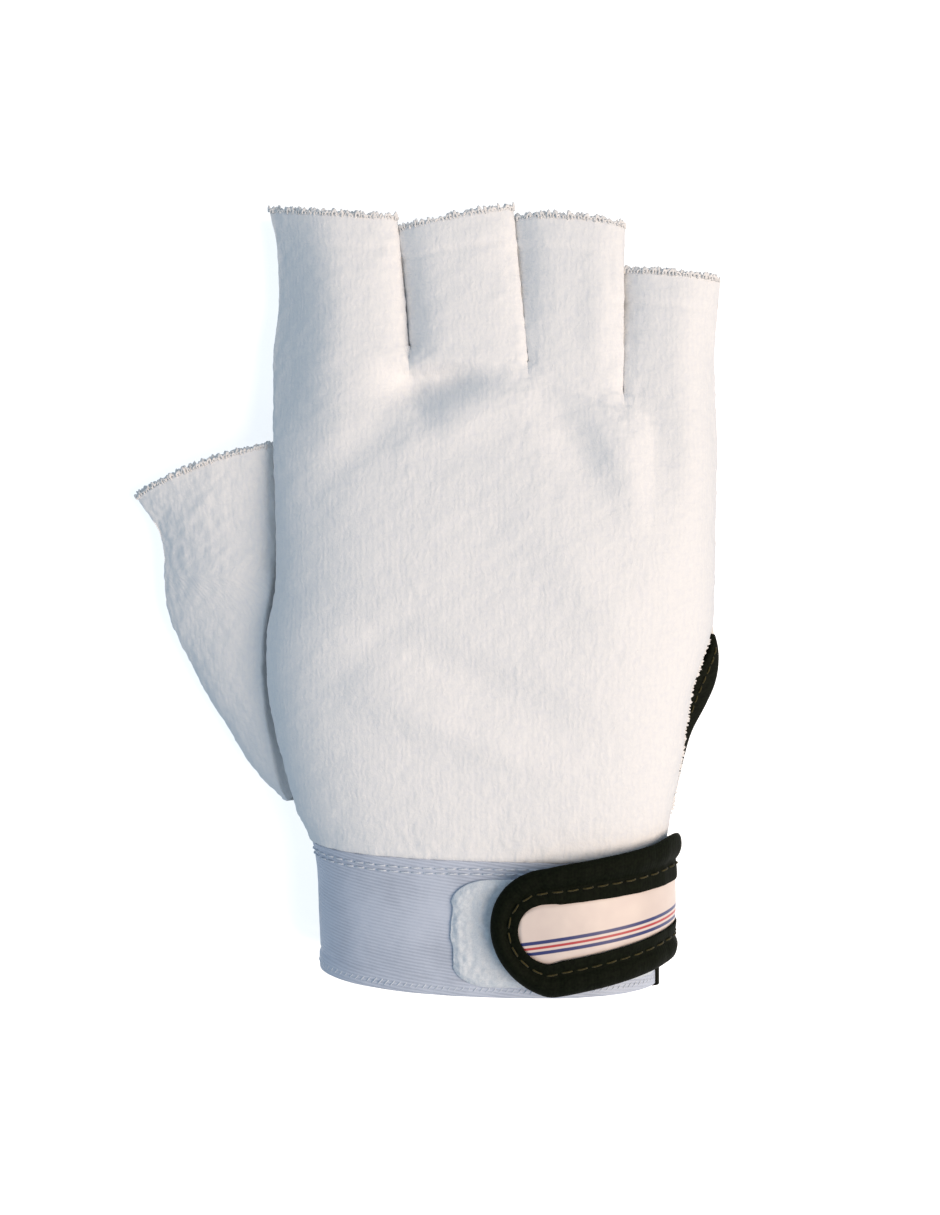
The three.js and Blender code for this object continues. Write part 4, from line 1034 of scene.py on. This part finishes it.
TAPE_SECTION = np.array([
    (0.0, 1.2), (0.5, 0.3), (1.5, 0.0), (TAPE["width"], 0.0), (TAPE["width"], 2.1),
    (TAPE["width"] + 0.8, 2.45), (TAPE["width"] + 0.8, 2.75), (TAPE["width"] - 0.6, TAPE["strip"] + 0.35),
    (TAPE["roll"] + 0.7, TAPE["strip"]), (TAPE["roll"] + 0.2, TAPE["strip"] - 0.35),
    (TAPE["roll"] - 0.5, TAPE["crown"] - 0.3), (3.6, TAPE["crown"] + 0.1), (2.6, TAPE["crown"] + 0.15),
    (1.4, TAPE["crown"] - 0.2), (0.6, 2.3), (0.1, 1.7),
])


def tab_path():
    """Stops along the tab's edge, from the root over the tip: girth, y, direction inward, extra width."""
    straight, turns = 34, 44
    start = TAB["tip"] + TAB["half"]
    girth = lerp(TAB["root"], start, np.arange(straight + 1) / straight)
    shoulder = along(TAB_SHOULDER, 1, girth)
    edge = tab_middle(girth) + TAB["half"] - tab_taper(girth) + shoulder
    over = np.stack([girth, edge, 0 * girth, 0 * girth - 1, shoulder], 1)
    angle = math.pi / 2 + math.pi * np.arange(1, turns) / turns
    around = start + TAB["half"] * np.cos(angle)
    tip = np.stack([around, tab_middle(around) + TAB["half"] * np.sin(angle), -np.cos(angle),
                    -np.sin(angle), 0 * angle], 1)
    girth = girth[::-1]
    edge = tab_middle(girth) - TAB["half"] + tab_taper(girth)
    below = np.stack([girth, edge, 0 * girth, 0 * girth + 1, 0 * girth], 1)
    return np.concatenate([over, tip, below])


def on_tape(path, inward, height):
    """Places at a distance in from the tab's edge and at a height above its underside."""
    inward, height = np.broadcast_arrays(inward, height)
    inward = inward * (1 - TIP_PRESS * np.maximum(0, path[:, None, 2]) + path[:, None, 4] / TAPE["width"])
    girth = path[:, None, 0] + inward * path[:, None, 2]
    y = path[:, None, 1] + inward * path[:, None, 3] + tab_middle(girth) - tab_middle(path[:, None, 0])
    return wrap(girth, y, tab_lift(path[:, None, 0]) + height)


def make_tab_tape():
    """The tape folded over the tab's edge, a little puckered by its stitches."""
    path = tab_path()
    stops = path_length(on_tape(path, np.array([3.0]), np.array([2.0]))[:, 0])
    pucker = 1 + sum(share * np.sin(stops / span * 2 * math.pi) for share, span in TAPE_PUCKERS)
    height = TAPE_SECTION[None, :, 1] * np.where(TAPE_SECTION[None, :, 1] > 1.9, pucker[:, None], 1)
    rings = on_tape(path, TAPE_SECTION[None, :, 0] + 0 * height, height)
    return sweep("tab_binding", rings, stops, np.cumsum(np.full(len(TAPE_SECTION), 1.3)), BINDING)


def slit_frame(y):
    """Foot of the bound edge, its directions up and out, and its width."""
    x, foot, width, lean = (along(SLIT_EDGE, c, y) for c in range(1, 5))
    lean = np.radians(lean)
    up = stack(-np.sin(lean), 0, np.cos(lean))
    out = stack(np.cos(lean), 0, np.sin(lean))
    return stack(x, y, foot + SLIT_THICK * np.sin(lean)), up, out, width


def make_slit_tape():
    y = lerp(SLIT_EDGE[0][0], SLIT_EDGE[-1][0], np.arange(61) / 60)
    foot, up, out, width = slit_frame(y)
    section = [(0, -0.2), (0.2, 0.05), (0.5, 0.15), (0.8, 0), (0.97, -0.5), (1, -0.5 * SLIT_THICK),
               (0.97, 0.5 - SLIT_THICK), (0.8, 0.1 - SLIT_THICK), (0.5, -SLIT_THICK), (0, 0.3 - SLIT_THICK)]
    rings = np.stack([foot + up * (rise * width)[:, None] + out * thick for rise, thick in section], axis=1)
    stops = path_length(foot)
    return sweep("slit_binding", rings[:, ::-1], stops, 1.2 * np.arange(len(section)), SLIT_BINDING)


def make_hem_tape():
    turn = lerp(1.06, 1.97, np.arange(91) / 90)
    y = wrist_hem(ease(2 - turn)) + HEM_BACK
    normal, place = wrist_outward(turn, y, 0.01), wrist_loop(turn, y)
    section = [(-SEAM_GAP, 0), (-SEAM_GAP, -HEM_WALL), (-0.75 * HEM_DEEP, -HEM_WALL - 0.2),
               (-1.1 * HEM_DEEP, -0.55 * HEM_WALL), (-HEM_DEEP, 0)]
    rings = np.stack([place + np.array([0, back, 0]) + normal * height for back, height in section], axis=1)
    return sweep("hem_binding", rings[:, ::-1], path_length(place), 1.5 * np.arange(5), BINDING)


band = make_band()
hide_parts("wrist_band")
band_binding = make_band_binding()
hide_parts("band_slit_tape")
pile_patch = make_loop_patch()
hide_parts("loop_patch")
hook_plate = wrist_plate("hook_plate", 44, 36, hook_outline, LEVEL_HOOK, HOOK["wall"], HOOKS)
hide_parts("hook_patch")
tab_core = make_tab_core()
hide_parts("closure_tab")
plate = make_insert()
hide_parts("tab_insert")
tab_tape = make_tab_tape()
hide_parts("tab_tape")
slit_tape = make_slit_tape()
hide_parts("slit_tape")
hem_tape = make_hem_tape()
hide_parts("hem_tape")

# Stitches and terry loops: a short arc of yarn is modelled once and copied along a seam


def yarn_arc(name, radius, span, thick, sides, steps):
    """An arc of yarn in the XZ plane: a ring of edges spun about a centre below, its ends closed.
    radius is the arc's, span its angle and thick the yarn's radius, all in millimetres and degrees."""
    half = math.radians(span) / 2
    bpy.ops.mesh.primitive_circle_add(
        vertices=sides, radius=thick, location=(0, 0, radius), rotation=(0, math.pi / 2, 0))
    arc = bpy.context.object
    arc.name = name
    bpy.ops.object.transform_apply(location=True, rotation=True, scale=True)
    arc.data.transform(Matrix.Rotation(-half, 4, "Y"))
    bpy.ops.object.mode_set(mode="EDIT")
    bpy.ops.mesh.select_all(action="SELECT")
    bpy.ops.mesh.spin(steps=steps, angle=-2 * half, center=(0, 0, 0), axis=(0, 1, 0), dupli=False)
    bpy.ops.mesh.select_all(action="SELECT")
    bpy.ops.mesh.remove_doubles(threshold=thick * 0.01)
    bpy.ops.mesh.fill_holes(sides=0)
    bpy.ops.mesh.select_all(action="SELECT")
    bpy.ops.mesh.normals_make_consistent(inside=False)
    bpy.ops.object.mode_set(mode="OBJECT")
    points = np.array([tuple(v.co) for v in arc.data.vertices])
    faces = [tuple(p.vertices) for p in arc.data.polygons]
    bpy.data.meshes.remove(arc.data)
    return points, faces


def strew(name, arc, places, forward, upward, scales, surface, slot):
    """One piece of many copies of an arc, each at its place with its own directions and size."""
    points, faces = arc
    forward = unit(forward)
    side = unit(np.cross(upward, forward))
    up = np.cross(forward, side)
    scaled = points[None] * scales[:, None, :]
    spread = (places[:, None] + scaled[..., 0:1] * forward[:, None] + scaled[..., 1:2] * side[:, None]
              + scaled[..., 2:3] * up[:, None]).reshape(-1, 3)
    copies = [tuple(i + n * len(points) for i in face) for n in range(len(places)) for face in faces]
    return new_piece(name, spread, copies, surface)


def stitch_row(name, places, normals, length, pitch, surface, slot, thick, slant=0.0):
    """Stitches end to end along a row of places, or slanting across it."""
    at = path_length(places)
    middles = np.arange(pitch / 2, at[-1], pitch)
    spots, ahead = read_at(middles, at, places), read_at(middles + 0.4, at, places)
    ups = read_at(middles, at, normals)
    radius = length * 0.9
    points, faces = yarn_arc(name, radius, STITCH_SPAN, thick, 6, 6)
    points = points - np.array([0, 0, radius * math.cos(math.radians(STITCH_SINK))])
    forward = ahead - spots + slant * np.cross(ups, ahead - spots)
    return strew(name, (points, faces), spots, forward, ups, np.ones((len(spots), 3)), surface, slot)


def band_stitches(name, margin, seam, height, *stitch):
    """A row of white stitches over the band, margin in from its ends; seam gives the row's y."""
    girth = np.linspace(GIRTH[0, 0] + margin, BAND_END - margin + 0.3, 260)
    y = seam(girth, (girth - GIRTH[0, 0]) / -GIRTH[0, 0])
    normals = wrap(girth, y, 1.0) - wrap(girth, y, 0.0)
    return stitch_row(name, wrap(girth, y, height - BAND_DROP), normals, 2.2, *stitch)


def make_stitches():
    rows = []
    for number, drop in enumerate(CUFF_ROWS):
        rows.append(band_stitches(
            f"cuff_stitches_{number + 1}", 1.2,
            lambda girth, part: cuff_seam(part) - drop + 0.2 * np.sin(girth / 9), 0.05,
            2.75, WHITE_THREAD, "elastic", 0.2))
    overlock = band_stitches("hem_overlock", 1.0, lambda girth, part: wrist_hem(part) + OVERLOCK_ROW, 0.1,
                             1.5, WHITE_THREAD, "elastic", 0.16, 1.2)
    path = tab_path()[2:-2]
    places, above = (on_tape(path, TAPE_SEAM, np.array([TAPE["strip"] + up]))[:, 0] for up in (0, 1))
    normals = above - places
    rows.append(stitch_row("tab_stitches", places, normals, 2.6, 3.6, OLIVE_THREAD, "black_tape", 0.22))
    y = np.linspace(-48.0, -9.5, 120)
    foot, up, out, width = slit_frame(y)
    places = foot + up * (0.62 * width)[:, None] + out * 0.1
    rows.append(stitch_row("slit_stitches", places, out, 1.8, 2.5, OLIVE_THREAD, "black_tape", 0.2))
    return [*rows, overlock]


stitches = make_stitches()


LOOP_ROWS, LOOP_STEP = 3, 0.75  # rows of standing loops along an edge, and the step from loop to loop


def hem_loops(name, places, outward, upward, seed, size=0.66):
    """Standing terry loops along an edge: places along it, the way out of it and the cloth's normal."""
    chance = random.Random(seed)
    at = path_length(places)
    spots, ahead, ups, scales = [], [], [], []
    for row in range(LOOP_ROWS):
        stop = chance.uniform(0, LOOP_STEP)
        while stop < at[-1]:
            spot, out, up = (read_at(stop, at, along_edge) for along_edge in (places, outward, upward))
            tangent = read_at(stop + 0.3, at, places) - spot
            if np.linalg.norm(tangent) < 1e-6:
                break
            lean = chance.uniform(-0.35, 0.35)
            spots.append(spot - up * (row * 0.55 + chance.uniform(-0.1, 0.2)) - out * 0.12)
            ahead.append(unit(tangent) + out * lean + up * chance.uniform(-0.5, 0.5))
            ups.append(out + up * chance.uniform(-0.25, 0.35))
            wide = chance.uniform(0.45, 0.8)
            scales.append((wide, wide, chance.uniform(0.6, 1.9)))
            stop += LOOP_STEP * chance.uniform(0.75, 1.25)
    arc = yarn_arc(name, size, 200, 0.33, 5, 7)
    return strew(name, arc, *map(np.array, (spots, ahead, ups, scales)), LOOP_YARN, "terry")


def make_hem_loops():
    made = []
    part = np.linspace(0.0, 1.0, 60)
    for strip in range(4):
        top = finger_point(PANEL_BACK, strip, part, 1.0, 0)
        out = unit(top - finger_point(PANEL_BACK, strip, part, 0.9, 0))
        up = unit(np.cross(np.gradient(top, axis=0), out))
        up *= np.sign(up[:, 2:3] + 1e-9)
        made.append(hem_loops(f"hem_loops_{strip + 1}", top + up * 0.3, out, up, 100 + strip))
    return made


loops = make_hem_loops()


def make_side_fringe():
    """Loops along the thumb's hem and along the cut edge beside the slit."""
    around = np.linspace(0.03, 0.97, 120)
    hem = thumb_point(np.full(120, 10.0), around, 0)
    hem[:, 2] = np.maximum(hem[:, 2], 1.1)
    out = unit(hem - thumb_point(np.full(120, 9.6), around, 0))
    up = unit(np.cross(out, np.gradient(hem, axis=0)))
    up *= np.sign(np.sum(up * (hem - hem.mean(axis=0)), axis=1, keepdims=True) + 1e-9)
    thumb_loops = hem_loops("hem_loops_thumb", hem, out, up, 213)
    y = np.linspace(-50, -8, 90)
    edge = stack(hand(RIGHT, y) - 0.5, y, hand(RIGHT_SEAM, y) + 1.2)
    out, up = stack(1 + 0 * y, 0, 0.1), stack(0 * y, 0, 1)
    return [thumb_loops, hem_loops("hem_loops_slit", edge, out, up, 217, size=0.42)]


fringe = make_side_fringe()

# Floor and light


def set_stage():
    bpy.ops.mesh.primitive_plane_add(size=6, location=(0, 0, -0.0001))
    floor = bpy.context.object
    floor.name = "floor"
    floor.data.materials.append(floor_material())
    floor.visible_diffuse = False


# A warm lamp to the right, and a cool surround
KEY = dict(place=(0.90, -0.10, 0.98), aim=(0.0, 0.0, 0.02), size=1.2, power=16.6, colour="#FFE6CF")
SKY = dict(colour="#D3E8FB", strength=0.529)


def set_lights():
    data = bpy.data.lights.new("warm_key", "AREA")
    data.shape = "DISK"
    data.size = KEY["size"]
    data.energy = KEY["power"]
    data.color = tint(KEY["colour"])[:3]
    light = bpy.data.objects.new("warm_key", data)
    light.location = KEY["place"]
    aim = Vector(KEY["aim"]) - Vector(KEY["place"])
    light.rotation_euler = aim.to_track_quat("-Z", "Y").to_euler()
    bpy.context.collection.objects.link(light)
    world = bpy.data.worlds.new("soft_surround")
    world.use_nodes = True
    sky = world.node_tree.nodes["Background"]
    sky.inputs["Color"].default_value = tint(SKY["colour"])
    sky.inputs["Strength"].default_value = SKY["strength"]
    bpy.context.scene.world = world
    bpy.context.scene.view_settings.view_transform = "Standard"


set_stage()
set_lights()
